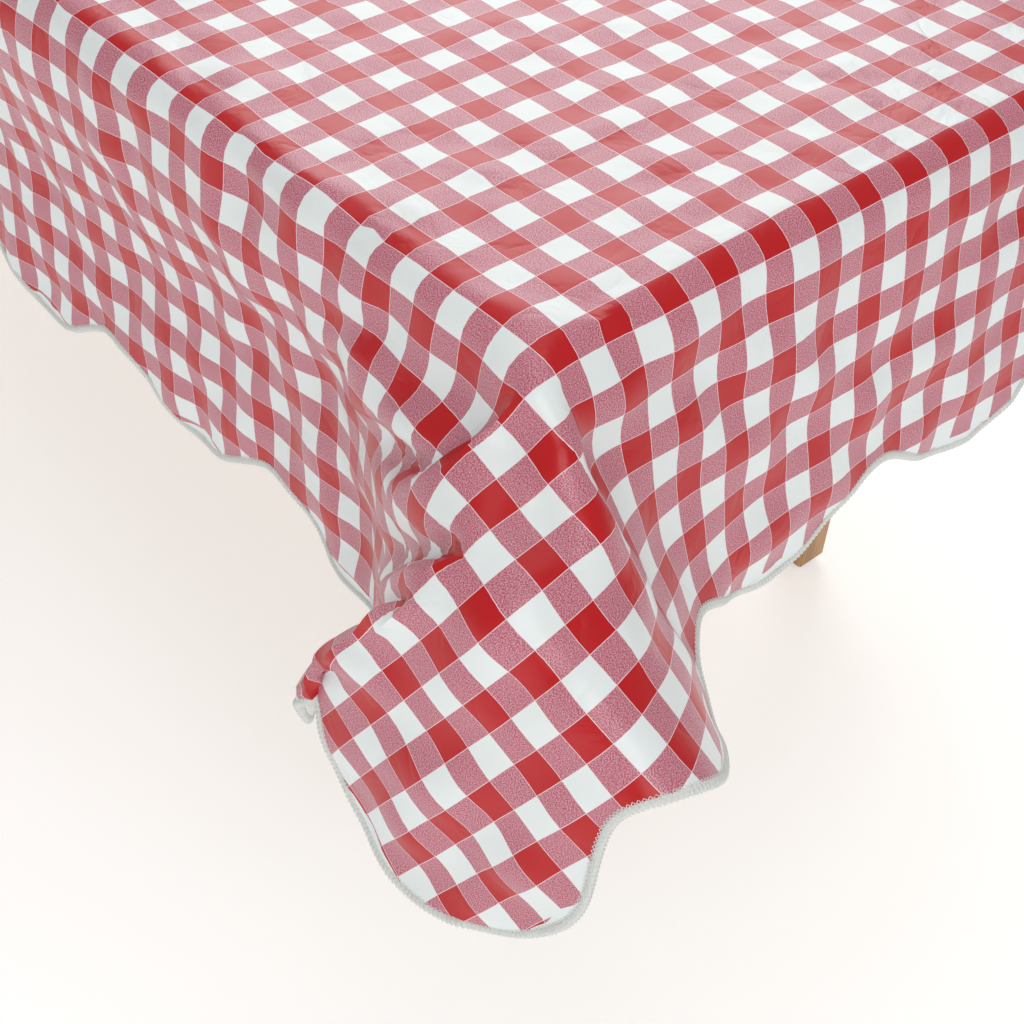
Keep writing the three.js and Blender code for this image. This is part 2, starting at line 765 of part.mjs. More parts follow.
// A closed loop that follows the hem: its section is an oval, placed down the sheet and out from it.
function hemLoop(downSheet, offset, halfWidth, halfThickness, sectionSides) {
  const last = ringCount - 1;
  return new ParametricGeometry((u, v, target) => {
    const i = wrap(Math.round(u * sheet.length));
    const turn = v * 2 * Math.PI;
    const down = sheet[i][last].clone().sub(sheet[i][last - 1]).normalize();
    target.copy(raised(i, last, offset + halfThickness * Math.sin(turn)))
      .addScaledVector(down, downSheet + halfWidth * Math.cos(turn));
  }, sheet.length, sectionSides);
}

const filmStart = flannelThickness + assemblyGap;
const clothOuter = filmStart + filmThickness;

function addCloth() {
  addPiece("flannel_backing", clothLayer(0, flannelThickness), flannel);
  addPiece("vinyl_face", clothLayer(filmStart, clothOuter), vinyl);
  const edgingCentre = edgingWidth / 2 + edgingGap;
  addPiece(
    "crochet_edging",
    hemLoop(edgingCentre, clothOuter / 2, edgingWidth / 2, edgingThickness / 2, 6),
    cottonTrim
  );
}

addTop();
addAprons();
addLegs();
addCornerJoints();
addClips();
addGlides();
addCloth();

// The lobes reach out by different amounts, so the whole is moved level until its box is centred.
const middle = new THREE.Box3().setFromObject(object, true).getCenter(new THREE.Vector3());
object.position.set(-middle.x, -middle.y, 0);

export default object;
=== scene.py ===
"""A gingham vinyl tablecloth with a crocheted edge, draped over an oak dining table.

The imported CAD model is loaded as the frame. The cloth is cut flat, laid over the table by a formula and
then relaxed until every part of it has its flat size again, and its film, backing, edging and stitches
are built on that one surface. All lengths are in metres.
"""

import json
import math

import bpy
import numpy as np
from mathutils import Matrix, Vector


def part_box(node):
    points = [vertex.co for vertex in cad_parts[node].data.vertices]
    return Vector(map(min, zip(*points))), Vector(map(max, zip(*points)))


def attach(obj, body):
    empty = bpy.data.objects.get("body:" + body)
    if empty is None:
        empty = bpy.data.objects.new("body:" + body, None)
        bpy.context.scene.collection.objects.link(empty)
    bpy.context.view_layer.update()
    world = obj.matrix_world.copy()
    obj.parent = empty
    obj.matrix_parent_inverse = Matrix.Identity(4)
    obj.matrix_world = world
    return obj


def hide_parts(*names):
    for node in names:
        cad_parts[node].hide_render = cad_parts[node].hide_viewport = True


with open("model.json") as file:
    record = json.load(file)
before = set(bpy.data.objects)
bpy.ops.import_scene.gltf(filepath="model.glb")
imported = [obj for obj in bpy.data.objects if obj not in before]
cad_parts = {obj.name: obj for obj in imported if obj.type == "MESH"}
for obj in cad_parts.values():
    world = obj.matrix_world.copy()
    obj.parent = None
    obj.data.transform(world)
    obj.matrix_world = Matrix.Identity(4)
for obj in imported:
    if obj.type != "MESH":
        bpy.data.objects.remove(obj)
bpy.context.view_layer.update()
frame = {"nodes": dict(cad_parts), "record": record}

bl_info = {
    "name": "Gingham tablecloth",
    "version": (1, 0, 0),
    "blender": (4, 5, 0),
    "location": "3D View > Sidebar > Tablecloth",
    "description": "Builds a draped vinyl tablecloth and finishes the table under it",
    "category": "Object",
}

TABLE_LOW, TABLE_HIGH = (np.array(corner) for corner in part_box("table_top"))
TABLE_MIDDLE = (TABLE_LOW + TABLE_HIGH)[:2] / 2
TABLE_HALF = (TABLE_HIGH - TABLE_LOW)[:2] / 2
TABLE_TOP = TABLE_HIGH[2]

UP = np.array([0.0, 0.0, 1.0])
NORMALS = np.array([(0.0, -1.0, 0.0), (1.0, 0.0, 0.0), (0.0, 1.0, 0.0), (-1.0, 0.0, 0.0)])


# ---- Sizes and colours that a user would change ----


class ClothSizes(bpy.types.PropertyGroup):
    """Cut, print and trim of the cloth."""

    cut_length: bpy.props.FloatProperty(
        name="Cut length", description="Length of the flat cloth over its edging",
        default=2.134, min=0.5, unit="LENGTH")
    cut_width: bpy.props.FloatProperty(
        name="Cut width", description="Width of the flat cloth over its edging",
        default=1.524, min=0.5, unit="LENGTH")
    shift: bpy.props.FloatProperty(
        name="Shift", description="How far the cloth lies off the table's middle, each way",
        default=0.007, unit="LENGTH")
    corner_radius: bpy.props.FloatProperty(
        name="Corner radius", description="Rounding of the cloth's corners",
        default=0.111, min=0.01, unit="LENGTH")
    scallop_depth: bpy.props.FloatProperty(
        name="Scallop depth", description="How deep the hem's valleys cut in",
        default=0.041, min=0.0, unit="LENGTH")
    standoff: bpy.props.FloatProperty(
        name="Fold standoff", description="How far the cloth folds down outside the table's edge",
        default=0.014, min=0.0, unit="LENGTH")
    lift: bpy.props.FloatProperty(
        name="Lift", description="Gap between the table and the backing",
        default=0.0005, min=0.0, unit="LENGTH")
    flannel: bpy.props.FloatProperty(
        name="Flannel thickness", description="Thickness of the backing",
        default=0.0007, min=0.0001, unit="LENGTH")
    film_start: bpy.props.FloatProperty(
        name="Film height", description="Where the film starts above the backing's underside",
        default=0.0010, min=0.0001, unit="LENGTH")
    film_end: bpy.props.FloatProperty(
        name="Film face", description="Where the film's face lies above the backing's underside",
        default=0.0015, min=0.0002, unit="LENGTH")
    check: bpy.props.FloatProperty(
        name="Check", description="Width of one printed check",
        default=0.0222, min=0.002, unit="LENGTH")
    check_line: bpy.props.FloatProperty(
        name="Check line", description="Width of the white line between checks",
        default=0.0004, min=0.0, unit="LENGTH")
    print_margin: bpy.props.FloatProperty(
        name="Print margin", description="Unprinted border inside the straight edge of the film",
        default=0.007, min=0.0, unit="LENGTH")
    edging_width: bpy.props.FloatProperty(
        name="Edging width", description="Width of the crocheted edging",
        default=0.009, min=0.001, unit="LENGTH")
    edging_gap: bpy.props.FloatProperty(
        name="Edging gap", description="Allowance between film and edging in the cut size",
        default=0.0007, min=0.0, unit="LENGTH")
    edging_thickness: bpy.props.FloatProperty(
        name="Edging thickness", description="Thickness of the crocheted edging",
        default=0.0042, min=0.001, unit="LENGTH")
    picot: bpy.props.FloatProperty(
        name="Picot spacing", description="Distance from one crochet picot to the next",
        default=0.0034, min=0.002, unit="LENGTH")
    stitch: bpy.props.FloatProperty(
        name="Stitch spacing", description="Distance between overlock stitches along the hem",
        default=0.0034, min=0.001, unit="LENGTH")
    crease_pitch: bpy.props.FloatProperty(
        name="Crease spacing", description="Distance between the creases left by folding the cloth flat",
        default=0.2075, min=0.05, unit="LENGTH")


class ClothColours(bpy.types.PropertyGroup):
    """Printed and thread colours, as sRGB hex values."""

    red: bpy.props.StringProperty(name="Red", description="Solid red checks", default="#BE0E16")
    pale: bpy.props.StringProperty(name="White", description="White checks", default="#E9EFEE")
    thread: bpy.props.StringProperty(
        name="Half tone", description="Red dots of the half-tone checks", default="#B03550")
    ground: bpy.props.StringProperty(
        name="Half-tone ground", description="Ground of the half-tone checks", default="#E6C2CC")
    line: bpy.props.StringProperty(name="Line", description="Thin line between checks", default="#F2DFE1")
    backing: bpy.props.StringProperty(name="Flannel", description="Brushed backing", default="#EFEEEA")
    cotton: bpy.props.StringProperty(name="Cotton", description="Crochet thread", default="#ECEEEA")


class TableColours(bpy.types.PropertyGroup):
    """Finishes of the table, as sRGB hex values."""

    oak_light: bpy.props.StringProperty(name="Oak, light", description="Early wood", default="#C99B66")
    oak_dark: bpy.props.StringProperty(name="Oak, dark", description="Late wood", default="#96693C")
    pale_light: bpy.props.StringProperty(name="Beech, light", description="Early wood", default="#DCC19A")
    pale_dark: bpy.props.StringProperty(name="Beech, dark", description="Late wood", default="#BD9A6C")
    steel: bpy.props.StringProperty(name="Zinc plate", description="Plated steel", default="#C3C6CA")
    nylon: bpy.props.StringProperty(name="Nylon", description="Moulded pads", default="#2A2A2B")


class StageSettings(bpy.types.PropertyGroup):
    """Floor, light and camera."""

    floor: bpy.props.StringProperty(name="Floor", description="Floor colour", default="#F4F4F2")
    glow: bpy.props.FloatProperty(
        name="Floor glow", description="Light that the translucent floor lets through", default=0.42, min=0.0)
    azimuth: bpy.props.FloatProperty(
        name="Azimuth", description="Camera's turn round the table, 0 in front",
        default=math.radians(46.676), subtype="ANGLE")
    elevation: bpy.props.FloatProperty(
        name="Elevation", description="Camera's height above the horizon",
        default=math.radians(42.893), subtype="ANGLE")
    roll: bpy.props.FloatProperty(
        name="Roll", description="Camera's tilt about its own line of sight",
        default=math.radians(2.953), subtype="ANGLE")
    lens: bpy.props.FloatProperty(
        name="Lens", description="Focal length in millimetres on a 36 mm sensor", default=61.875)
    eye_out: bpy.props.FloatVectorProperty(
        name="Eye", description="Camera's place from the near corner of the folded cloth",
        default=(0.5491, -0.5345, 0.6036), subtype="TRANSLATION", unit="LENGTH")


# ---- Small helpers ----


def smooth(value, low, high):
    """A smooth step: 0 below low, 1 above high, and a cubic between."""
    share = np.clip((value - low) / (high - low), 0.0, 1.0)
    return share * share * (3 - 2 * share)


def unit(vectors):
    """The same directions at length one."""
    return vectors / np.maximum(np.linalg.norm(vectors, axis=-1, keepdims=True), 1e-12)


def linear(code, alpha=1.0):
    """An sRGB hex value as a linear colour."""
    values = np.array([int(code[i:i + 2], 16) for i in (1, 3, 5)]) / 255
    parts = np.where(values <= 0.04045, values / 12.92, ((values + 0.055) / 1.055) ** 2.4)
    return (*[float(part) for part in parts], alpha)


# ---- Flat cut ----


class Cut:
    """Half sizes of the film, its shift on the table and the places of its folds."""

    def __init__(self, sizes):
        trim = sizes.edging_width + sizes.edging_gap
        self.half = np.array([sizes.cut_length / 2 - trim, sizes.cut_width / 2 - trim])
        self.shift = np.array([sizes.shift, sizes.shift])
        self.fold = TABLE_HALF + sizes.standoff
        self.radius = sizes.corner_radius
        self.depth = sizes.scallop_depth
        self.drops = [
            self.half[1] - self.shift[1] - self.fold[1],
            self.half[0] + self.shift[0] - self.fold[0],
            self.half[1] + self.shift[1] - self.fold[1],
            self.half[0] - self.shift[0] - self.fold[0],
        ]


SCALLOP_SHARPNESS = 1.4
SCALLOP_BAND = 0.15
LONG_SCALLOPS = (0.214, 0.122, 7)
SHORT_SCALLOPS = (0.204, 0.0, 5)


def hem_inset(distance, total, scallops, depth):
    """How far the scalloped hem lies inside the straight one. Half of each corner's own wide scallop
    stands at either end, one narrow scallop closes the side before its last corner, and the rest is
    shared equally. Each valley is a raised cosine sharpened by a power."""
    corner, closing, count = scallops
    to_end = total - distance
    from_end = np.minimum(distance, to_end)
    across = (distance - corner) / ((total - 2 * corner - closing) / count) % 1.0
    if closing:
        across = np.where(to_end < corner + closing, (to_end - corner) / closing, across)
    across = np.where(from_end < corner, np.maximum(0.5, from_end / corner), across)
    return depth * (0.5 + 0.5 * np.cos(2 * np.pi * across)) ** SCALLOP_SHARPNESS


def graded_line(stops, spacings):
    """Places from the first stop to the last. Each span is cut evenly into a multiple of four parts."""
    places = [np.array([stops[0]])]
    for low, high, spacing in zip(stops[:-1], stops[1:], spacings):
        count = 4 * max(1, round((high - low) / spacing / 4))
        places.append(np.linspace(low, high, count + 1)[1:])
    return np.concatenate(places)


def flat_grid(cut):
    """The film's flat cut as a grid of places from the table's middle. A rectangle's corner squares
    are mapped onto quarter discs, and a band along the hem is drawn in to the scallops."""
    low, high = cut.shift - cut.half, cut.shift + cut.half
    near = 0.04
    across = graded_line(
        [low[0], -cut.fold[0] + near, cut.fold[0] - 0.45, cut.fold[0] - near, high[0]],
        [0.0105, 0.0180, 0.0110, 0.0072])
    along = graded_line(
        [low[1], -cut.fold[1] + near, 0.0, cut.fold[1] - near, high[1]],
        [0.0072, 0.0110, 0.0160, 0.0105])
    x, y = np.meshgrid(across - cut.shift[0], along - cut.shift[1], indexing="ij")
    inner = cut.half - cut.radius
    out_x = np.maximum(0, np.abs(x) - inner[0]) / cut.radius
    out_y = np.maximum(0, np.abs(y) - inner[1]) / cut.radius
    turned_x = np.sign(x) * (inner[0] + cut.radius * out_x * np.sqrt(1 - out_y**2 / 2))
    turned_y = np.sign(y) * (inner[1] + cut.radius * out_y * np.sqrt(1 - out_x**2 / 2))
    x = np.where(out_x > 0, turned_x, x)
    y = np.where(out_y > 0, turned_y, y)
    # Each side is measured the way round that keeps the cloth on the left.
    inset_y = hem_inset(cut.half[0] - np.sign(y) * x, 2 * cut.half[0], LONG_SCALLOPS, cut.depth)
    inset_x = hem_inset(cut.half[1] + np.sign(x) * y, 2 * cut.half[1], SHORT_SCALLOPS, cut.depth)
    share_y = smooth(np.abs(y), cut.half[1] - SCALLOP_BAND, cut.half[1])
    share_x = smooth(np.abs(x), cut.half[0] - SCALLOP_BAND, cut.half[0])
    return np.stack([
        x - np.sign(x) * inset_x * share_x + cut.shift[0],
        y - np.sign(y) * inset_y * share_y + cut.shift[1],
    ], -1)


# ---- Drape by cones ----
# Each folded corner is the tip of a cone of cloth. Every straight line of the flat cloth through the
# tip stays straight and keeps its length, and neighbouring lines keep their angle.

FLARES = np.radians([2.5, 8.0, 6.0, 6.0])
TUCKS = (0.034, 0.0, 0.0, 0.0)
RIPPLES = ((0.002, 2.2), (0.005, 1.6), (0.006, 2.6), (0.005, 1.4))
TUCK_START, TUCK_END, TUCK_CLEAR = 0.070, 0.175, 0.160
LOBE_LEANS = (0.0, 0.85, 0.3, 1.0)
LOBE_TURNS = np.array([
    (-0.09, 0.47), (-0.16, 0.38), (-0.29, 0.39), (-0.41, 0.41), (-0.39, 0.23), (-0.34, 0.03), (-0.29, -0.18),
    (-0.22, -0.39), (-0.14, -0.58), (0.01, -0.61), (0.15, -0.52), (0.23, -0.34), (0.38, -0.19),
])
FAN_START, FAN_SWEEP, FULL_SWEEP = np.radians([60.0, 150.0, 270.0])
SPREAD_LIMITS = (0.3, 1.45)
STEEPEST = 0.05


# The near lobe hangs as one gently curved face in front of its cone, with a deep fold on its left side.
# The rows are the face's place from the folded corner, then how it changes with the distances left and
# up from its middle, measured in face spans, and with their squares and cubes.
FACE_MIDDLE = (0.1554, 0.1221)
FACE_SPAN = 0.1332
FACE_PLACES = np.array([
    (0.0655, -0.0889, -0.1607), (0.0627, 0.0441, 0.1069), (-0.1138, -0.0142, 0.0716),
    (-0.0063, 0.0137, -0.0029), (0.0018, -0.0058, -0.0046), (0.0003, 0.0069, 0.0008),
    (-0.0021, 0.0008, -0.0006), (0.0011, 0.0068, -0.0040), (0.0035, -0.0062, 0.0027),
    (0.0003, 0.0047, -0.0008),
])
FACE_START, FACE_FULL = 0.035, 0.100
FOLD_LINE, FOLD_BACK = 0.0330, -0.220
FOLD_DROPS = np.linspace(0.02, 0.36, 35)
FOLD_BACKWARD = 0.6
PLAIN_SKIRT = 0.32
BEND_DROP = 0.006


def fall_line(side):
    """The direction in which a side of the cloth hangs: down, leaning outward by its flare."""
    return NORMALS[side] * math.sin(FLARES[side]) - UP * math.cos(FLARES[side])


def rounded_path(points, steps=40):
    """A centripetal Catmull-Rom curve through the points."""
    ends = np.vstack([2 * points[0] - points[1], points, 2 * points[-1] - points[-2]])
    parts = []
    for i in range(len(points) - 1):
        p0, p1, p2, p3 = ends[i:i + 4]
        t1 = math.sqrt(np.linalg.norm(p1 - p0))
        t2 = t1 + math.sqrt(np.linalg.norm(p2 - p1))
        t3 = t2 + math.sqrt(np.linalg.norm(p3 - p2))
        t = np.linspace(t1, t2, steps, endpoint=False)[:, None]
        a1 = (t1 - t) / t1 * p0 + t / t1 * p1
        a2 = (t2 - t) / (t2 - t1) * p1 + (t - t1) / (t2 - t1) * p2
        a3 = (t3 - t) / (t3 - t2) * p2 + (t - t2) / (t3 - t2) * p3
        b1 = (t2 - t) / t2 * a1 + t / t2 * a2
        b2 = (t3 - t) / (t3 - t1) * a2 + (t - t1) / (t3 - t1) * a3
        parts.append((t2 - t) / (t2 - t1) * b1 + (t - t1) / (t2 - t1) * b2)
    return np.vstack([*parts, points[-1:]])


def lobe_path(corner):
    """The fold lines' directions round one corner lobe, and the angle along them. The lean mixes the
    lobe with its mirror image, and the spread is halved in on until the path sweeps the flat angle."""
    after = (corner + 1) % 4
    along_before, along_after = -NORMALS[after], -NORMALS[corner]
    lean = LOBE_LEANS[corner]
    turns = LOBE_TURNS * (1 - lean) + LOBE_TURNS[::-1, ::-1] * lean
    start = along_before * math.cos(FAN_START) + fall_line(corner) * math.sin(FAN_START)
    end = along_after * math.cos(FAN_START) + fall_line(after) * math.sin(FAN_START)

    def path_at(spread):
        level = turns[:, :1] * spread * along_after + turns[:, 1:] * spread * along_before
        level[:, 2] = -np.sqrt(np.maximum(STEEPEST, 1 - (level**2).sum(1)))
        return unit(rounded_path(np.vstack([start, level, end])))

    low, high = SPREAD_LIMITS
    for _ in range(24):
        middle = (low + high) / 2
        length = np.linalg.norm(np.diff(path_at(middle), axis=0), axis=1).sum()
        low, high = (middle, high) if length < FAN_SWEEP else (low, middle)
    path = path_at(low)
    angle = np.concatenate([[0], np.cumsum(np.linalg.norm(np.diff(path, axis=0), axis=1))])
    return path, angle * FAN_SWEEP / angle[-1], along_before, along_after


def cone_point(lobe, corner, tip, along_before, along_after):
    """Where one corner's cone takes flat points, given along both sides that meet there: the tip plus
    the fold line's direction times the distance."""
    path, angle, before, after = lobe
    reach = np.hypot(along_before, along_after)
    turn = np.arctan2(-along_after, along_before) % (2 * np.pi)
    inside = np.clip(turn - FAN_START, 0, FAN_SWEEP)
    middle = unit(np.stack([np.interp(inside, angle, path[:, axis]) for axis in range(3)], -1))
    left = FULL_SWEEP - turn
    first = np.cos(turn)[..., None] * before + np.sin(turn)[..., None] * fall_line(corner)
    last = np.cos(left)[..., None] * after + np.sin(left)[..., None] * fall_line((corner + 1) % 4)
    direction = np.where((turn < FAN_START)[..., None], first, middle)
    direction = np.where((turn > FAN_START + FAN_SWEEP)[..., None], last, direction)
    return tip + direction * reach[..., None]


def face_place(down, aside):
    """Where the near lobe's face takes flat points past both folds, from the folded corner: a cubic in
    the two distances."""
    a = (FACE_MIDDLE[0] - down) / FACE_SPAN
    b = (FACE_MIDDLE[1] - aside) / FACE_SPAN
    powers = [a**0, a, b, a * a, a * b, b * b, a**3, a * a * b, a * b * b, b**3]
    return np.tensordot(np.stack(powers, -1), FACE_PLACES, 1)


def near_skirt(cut, down, aside):
    """The front skirt carried on straight towards the near corner, from where it still hangs plainly."""
    plain = np.stack([cut.fold[0] - PLAIN_SKIRT + 0 * down, -cut.fold[1] - down], -1)
    return coned(cut, plain) + np.stack([aside + PLAIN_SKIRT, 0 * aside, 0 * aside], -1)


def fold_curves(cut, corner):
    """The band of cloth behind the near lobe's left edge, as one row of places for each drop. A row is a
    Hermite curve: it leaves the front skirt along the skirt, turns, and meets the face from behind. Its
    end speed is halved in on until its length is the band's flat width."""
    down = FOLD_DROPS
    step = 0.004
    at_face = [corner + face_place(down, FOLD_LINE + along + 0 * down) for along in (0.0, step)]
    start, end = near_skirt(cut, down, FOLD_BACK + 0 * down), at_face[0]
    leaving = np.tile([1.0, 0.0, 0.0], (len(down), 1))
    across = unit(at_face[1] - at_face[0])
    behind = start - end
    behind = unit(behind - across * (behind * across).sum(1, keepdims=True))
    arriving = unit(-across - FOLD_BACKWARD * behind)
    t = np.linspace(0, 1, 61)[None, :, None]

    def curve(speed):
        speed = speed[:, None, None]
        return ((2 * t**3 - 3 * t**2 + 1) * start[:, None] + (t**3 - 2 * t**2 + t) * speed * leaving[:, None]
                + (3 * t**2 - 2 * t**3) * end[:, None] + (t**3 - t**2) * speed * arriving[:, None])

    def travelled(rows):
        steps = np.linalg.norm(np.diff(rows, axis=1), axis=-1)
        return np.concatenate([np.zeros((len(rows), 1)), np.cumsum(steps, axis=1)], axis=1)

    low, high = np.zeros(len(down)), np.full(len(down), 1.2)
    for _ in range(24):
        middle = (low + high) / 2
        short = travelled(curve(middle))[:, -1] < FOLD_LINE - FOLD_BACK
        low, high = np.where(short, middle, low), np.where(short, high, middle)
    rows = curve(low)
    lengths = travelled(rows)
    even = np.linspace(0, 1, 41)
    return np.stack([
        np.stack([np.interp(even, length / length[-1], row[:, axis]) for axis in range(3)], -1)
        for length, row in zip(lengths, rows)])


def between(table, first, second):
    """Values of a table of places at fractional rows and columns, mixed from the four around each."""
    first = np.clip(first, 0, table.shape[0] - 1.001)
    second = np.clip(second, 0, table.shape[1] - 1.001)
    i, j = first.astype(int), second.astype(int)
    a, b = (first - i)[..., None], (second - j)[..., None]
    near = table[i, j] * (1 - b) + table[i, j + 1] * b
    far = table[i + 1, j] * (1 - b) + table[i + 1, j + 1] * b
    return near * (1 - a) + far * a


def draped(cut, flat):
    """The cloth laid by cones, with its near lobe carried onto the lobe's own face. Left of the face a
    straight band of cloth folds back to the front skirt. Returns the places and how firmly each is known."""
    points = coned(cut, flat)
    corner = np.array([cut.fold[0], -cut.fold[1], 0.0])
    down, aside = -flat[..., 1] - cut.fold[1], flat[..., 0] - cut.fold[0]
    known = smooth(down, FACE_START, FACE_FULL)
    on_face = known * (aside >= FOLD_LINE)
    face = corner + face_place(down, np.maximum(aside, FOLD_LINE))
    curves = fold_curves(cut, corner)
    row = (down - FOLD_DROPS[0]) / (FOLD_DROPS[1] - FOLD_DROPS[0])
    column = (aside - FOLD_BACK) / (FOLD_LINE - FOLD_BACK) * (curves.shape[1] - 1)
    lobe = np.where((aside >= FOLD_LINE)[..., None], face, between(curves, row, column))
    lobe = np.where((aside <= FOLD_BACK)[..., None], near_skirt(cut, down, aside), lobe)
    share = (known * (aside > -PLAIN_SKIRT))[..., None]
    hidden = (aside < FOLD_LINE) & (aside > FOLD_BACK) & (down > 0)
    firm = np.where(hidden, 2.0, 1.0) + 4.0 * on_face
    return points * (1 - share) + lobe * share, firm


def coned(cut, flat):
    """Flat places carried onto the table by the corners' cones. On top they stay. Past one fold the cones of the two corners
    are mixed along the side, with its ripple and its tuck. Past two folds one cone holds alone."""
    u, v = flat[..., 0], flat[..., 1]
    fold_x, fold_y = cut.fold
    tips = np.array([
        (fold_x, -fold_y, 0), (fold_x, fold_y, 0), (-fold_x, fold_y, 0), (-fold_x, -fold_y, 0)])
    lobes = [lobe_path(corner) for corner in range(4)]
    points = np.stack([u, v, 0 * u], -1)
    out = [-v - fold_y, u - fold_x, v - fold_y, -u - fold_x]
    along = [u + fold_x, v + fold_y, fold_x - u, fold_y - v]
    for side in range(4):
        length = 2 * (fold_y if side % 2 else fold_x)
        here = (out[side] > 0) & (along[side] >= 0) & (along[side] <= length)
        distance, place = out[side][here], along[side][here]
        share = place / length
        before = (side + 3) % 4
        from_before = cone_point(lobes[before], before, tips[before], -distance, place)
        from_after = cone_point(lobes[side], side, tips[side], length - place, -distance)
        mix = smooth(share, 0.25, 0.75)[:, None]
        window = smooth(place, 0, TUCK_CLEAR) * smooth(length - place, 0, TUCK_CLEAR)
        height, waves = RIPPLES[side]
        shift = height * np.sin(2 * np.pi * waves * share) * distance / cut.drops[side]
        shift = shift - TUCKS[side] * window * smooth(distance, TUCK_START, TUCK_END)
        points[here] = from_before * (1 - mix) + from_after * mix + NORMALS[side] * shift[:, None]
        points[here] -= UP * (BEND_DROP * smooth(distance, 0, 0.02))[:, None]
    for corner in range(4):
        after = (corner + 1) % 4
        here = (out[corner] > 0) & (out[after] > 0)
        points[here] = cone_point(
            lobes[corner], corner, tips[corner], -out[after][here], -out[corner][here])
        reach = np.hypot(out[after][here], out[corner][here])
        points[here] -= UP * (BEND_DROP * smooth(reach, 0, 0.02))[:, None]
    return points


# ---- Relaxing ----


def hold_length(first, second, rest, stiffness=0.5):
    """Moves both ends of many links, given as views of one array, until each has its rest length."""
    gap = second - first
    length = np.sqrt((gap**2).sum(-1, keepdims=True)) + 1e-12
    move = gap * (stiffness * (length - rest[..., None]) / length)
    first += move
    second -= move


def links(points, flat):
    """Every link of the grid as pairs of views with its flat length, in sets that share no point:
    along both ways and along both diagonals."""
    made = []
    spans = [((slice(None, -1), slice(None)), (slice(1, None), slice(None))),
             ((slice(None), slice(None, -1)), (slice(None), slice(1, None))),
             ((slice(None, -1), slice(None, -1)), (slice(1, None), slice(1, None))),
             ((slice(None, -1), slice(1, None)), (slice(1, None), slice(None, -1)))]
    for start, end in spans:
        axis = 1 if start[0] == slice(None) else 0
        first, second = points[start], points[end]
        rest = np.linalg.norm(flat[end] - flat[start], axis=-1)
        for parity in (0, 1):
            every = (slice(parity, None, 2), slice(None)) if axis == 0 else (slice(None), slice(parity, None, 2))
            made.append((first[every], second[every], rest[every]))
    return made


TOP_DEPTH = TABLE_HIGH[2] - TABLE_LOW[2] + 0.006


def keep_clear(points, reach, floor):
    """Pushes points out of the table top: up onto it where they are near its upper face, else out past
    its edge. Below the top they are free to swing in."""
    inside = (np.abs(points[..., 0]) < reach[0]) & (np.abs(points[..., 1]) < reach[1])
    inside &= (points[..., 2] < floor) & (points[..., 2] > -TOP_DEPTH)
    if not inside.any():
        return
    held = points[inside]
    gap = reach - np.abs(held[:, :2])
    shallow = held[:, 2] > -TOP_DEPTH / 2
    sideways = np.where(gap[:, 0] < gap[:, 1], 0, 1)
    rows = np.arange(len(held))
    signs = np.where(held[rows, sideways] < 0, -1.0, 1.0)
    moved = held.copy()
    moved[rows, sideways] = signs * reach[sideways]
    moved[shallow] = held[shallow]
    moved[shallow, 2] = floor
    points[inside] = moved


def relax(points, flat, target, firm, pinned, rounds, pull, ease, reach):
    """Repeats: draw each point towards its target as firmly as that is known, ease it between its neighbours, give every
    link its flat length, and keep clear of the table."""
    pairs = links(points, flat)
    for _ in range(rounds):
        points += pull * firm[..., None] * (target - points)
        for axis in (0, 1):
            line = np.moveaxis(points, axis, 0)
            cuts = np.moveaxis(flat, axis, 0)
            before = np.linalg.norm(cuts[1:-1] - cuts[:-2], axis=-1, keepdims=True)
            after = np.linalg.norm(cuts[2:] - cuts[1:-1], axis=-1, keepdims=True)
            middle = (line[:-2] * after + line[2:] * before) / (before + after)
            line[1:-1] += ease * (middle - line[1:-1])
        for first, second, rest in pairs:
            hold_length(first, second, rest)
        keep_clear(points, reach, 0.0)
        points[pinned] = target[pinned]


def spread_up(coarse, flat, step):
    """Fills a finer grid from every step-th point by straight lines between them, both ways."""
    rows, columns = flat.shape[:2]
    filled = np.zeros((rows, columns, coarse.shape[-1]))
    row_places, column_places = np.arange(0, rows, step), np.arange(0, columns, step)
    part = np.zeros((rows, coarse.shape[1], coarse.shape[-1]))
    for axis in range(coarse.shape[-1]):
        for j in range(coarse.shape[1]):
            part[:, j, axis] = np.interp(np.arange(rows), row_places, coarse[:, j, axis])
        for i in range(rows):
            filled[i, :, axis] = np.interp(np.arange(columns), column_places, part[i, :, axis])
    return filled


def wave_field(places, seed, count, shortest, longest):
    """A soft random height from many sine waves of seeded direction, length and phase, about 1 high."""
    dice = np.random.default_rng(seed)
    turns, phases = dice.uniform(0, 2 * np.pi, (2, count))
    lengths = np.exp(dice.uniform(np.log(shortest), np.log(longest), count))
    total = np.zeros(places.shape[:-1])
    for turn, phase, length in zip(turns, phases, lengths):
        along = places[..., 0] * math.cos(turn) + places[..., 1] * math.sin(turn)
        total += np.sin(2 * np.pi * along / length + phase)
    return total / math.sqrt(count / 2)


def creases(flat, cut, pitch):
    """Heights of the folds that packing left: straight ridges and grooves across the cloth, each a
    double-sided exponential, and each fading in and out along its length."""
    total = np.zeros(flat.shape[:2])
    first = cut.fold[0] + 0.0388
    for axis, start, spacing, strength in ((0, first, pitch, 0.0026), (1, -cut.fold[1] - 0.155, 0.262, 0.0018)):
        order = np.round((flat[..., axis] - start) / spacing)
        away = np.abs(flat[..., axis] - start - order * spacing)
        sign = np.where(order % 2 == 0, 1.0, -1.0)
        other = flat[..., 1 - axis]
        fade = 0.55 + 0.45 * np.sin(9.0 * other + 2.4 * order)
        total += sign * strength * fade * np.exp(-away / 0.0075)
    return total


def surface_normals(points):
    """Outward directions of a grid surface, across its central differences."""
    return unit(np.cross(np.gradient(points, axis=0), np.gradient(points, axis=1)))


SURFACE = {}


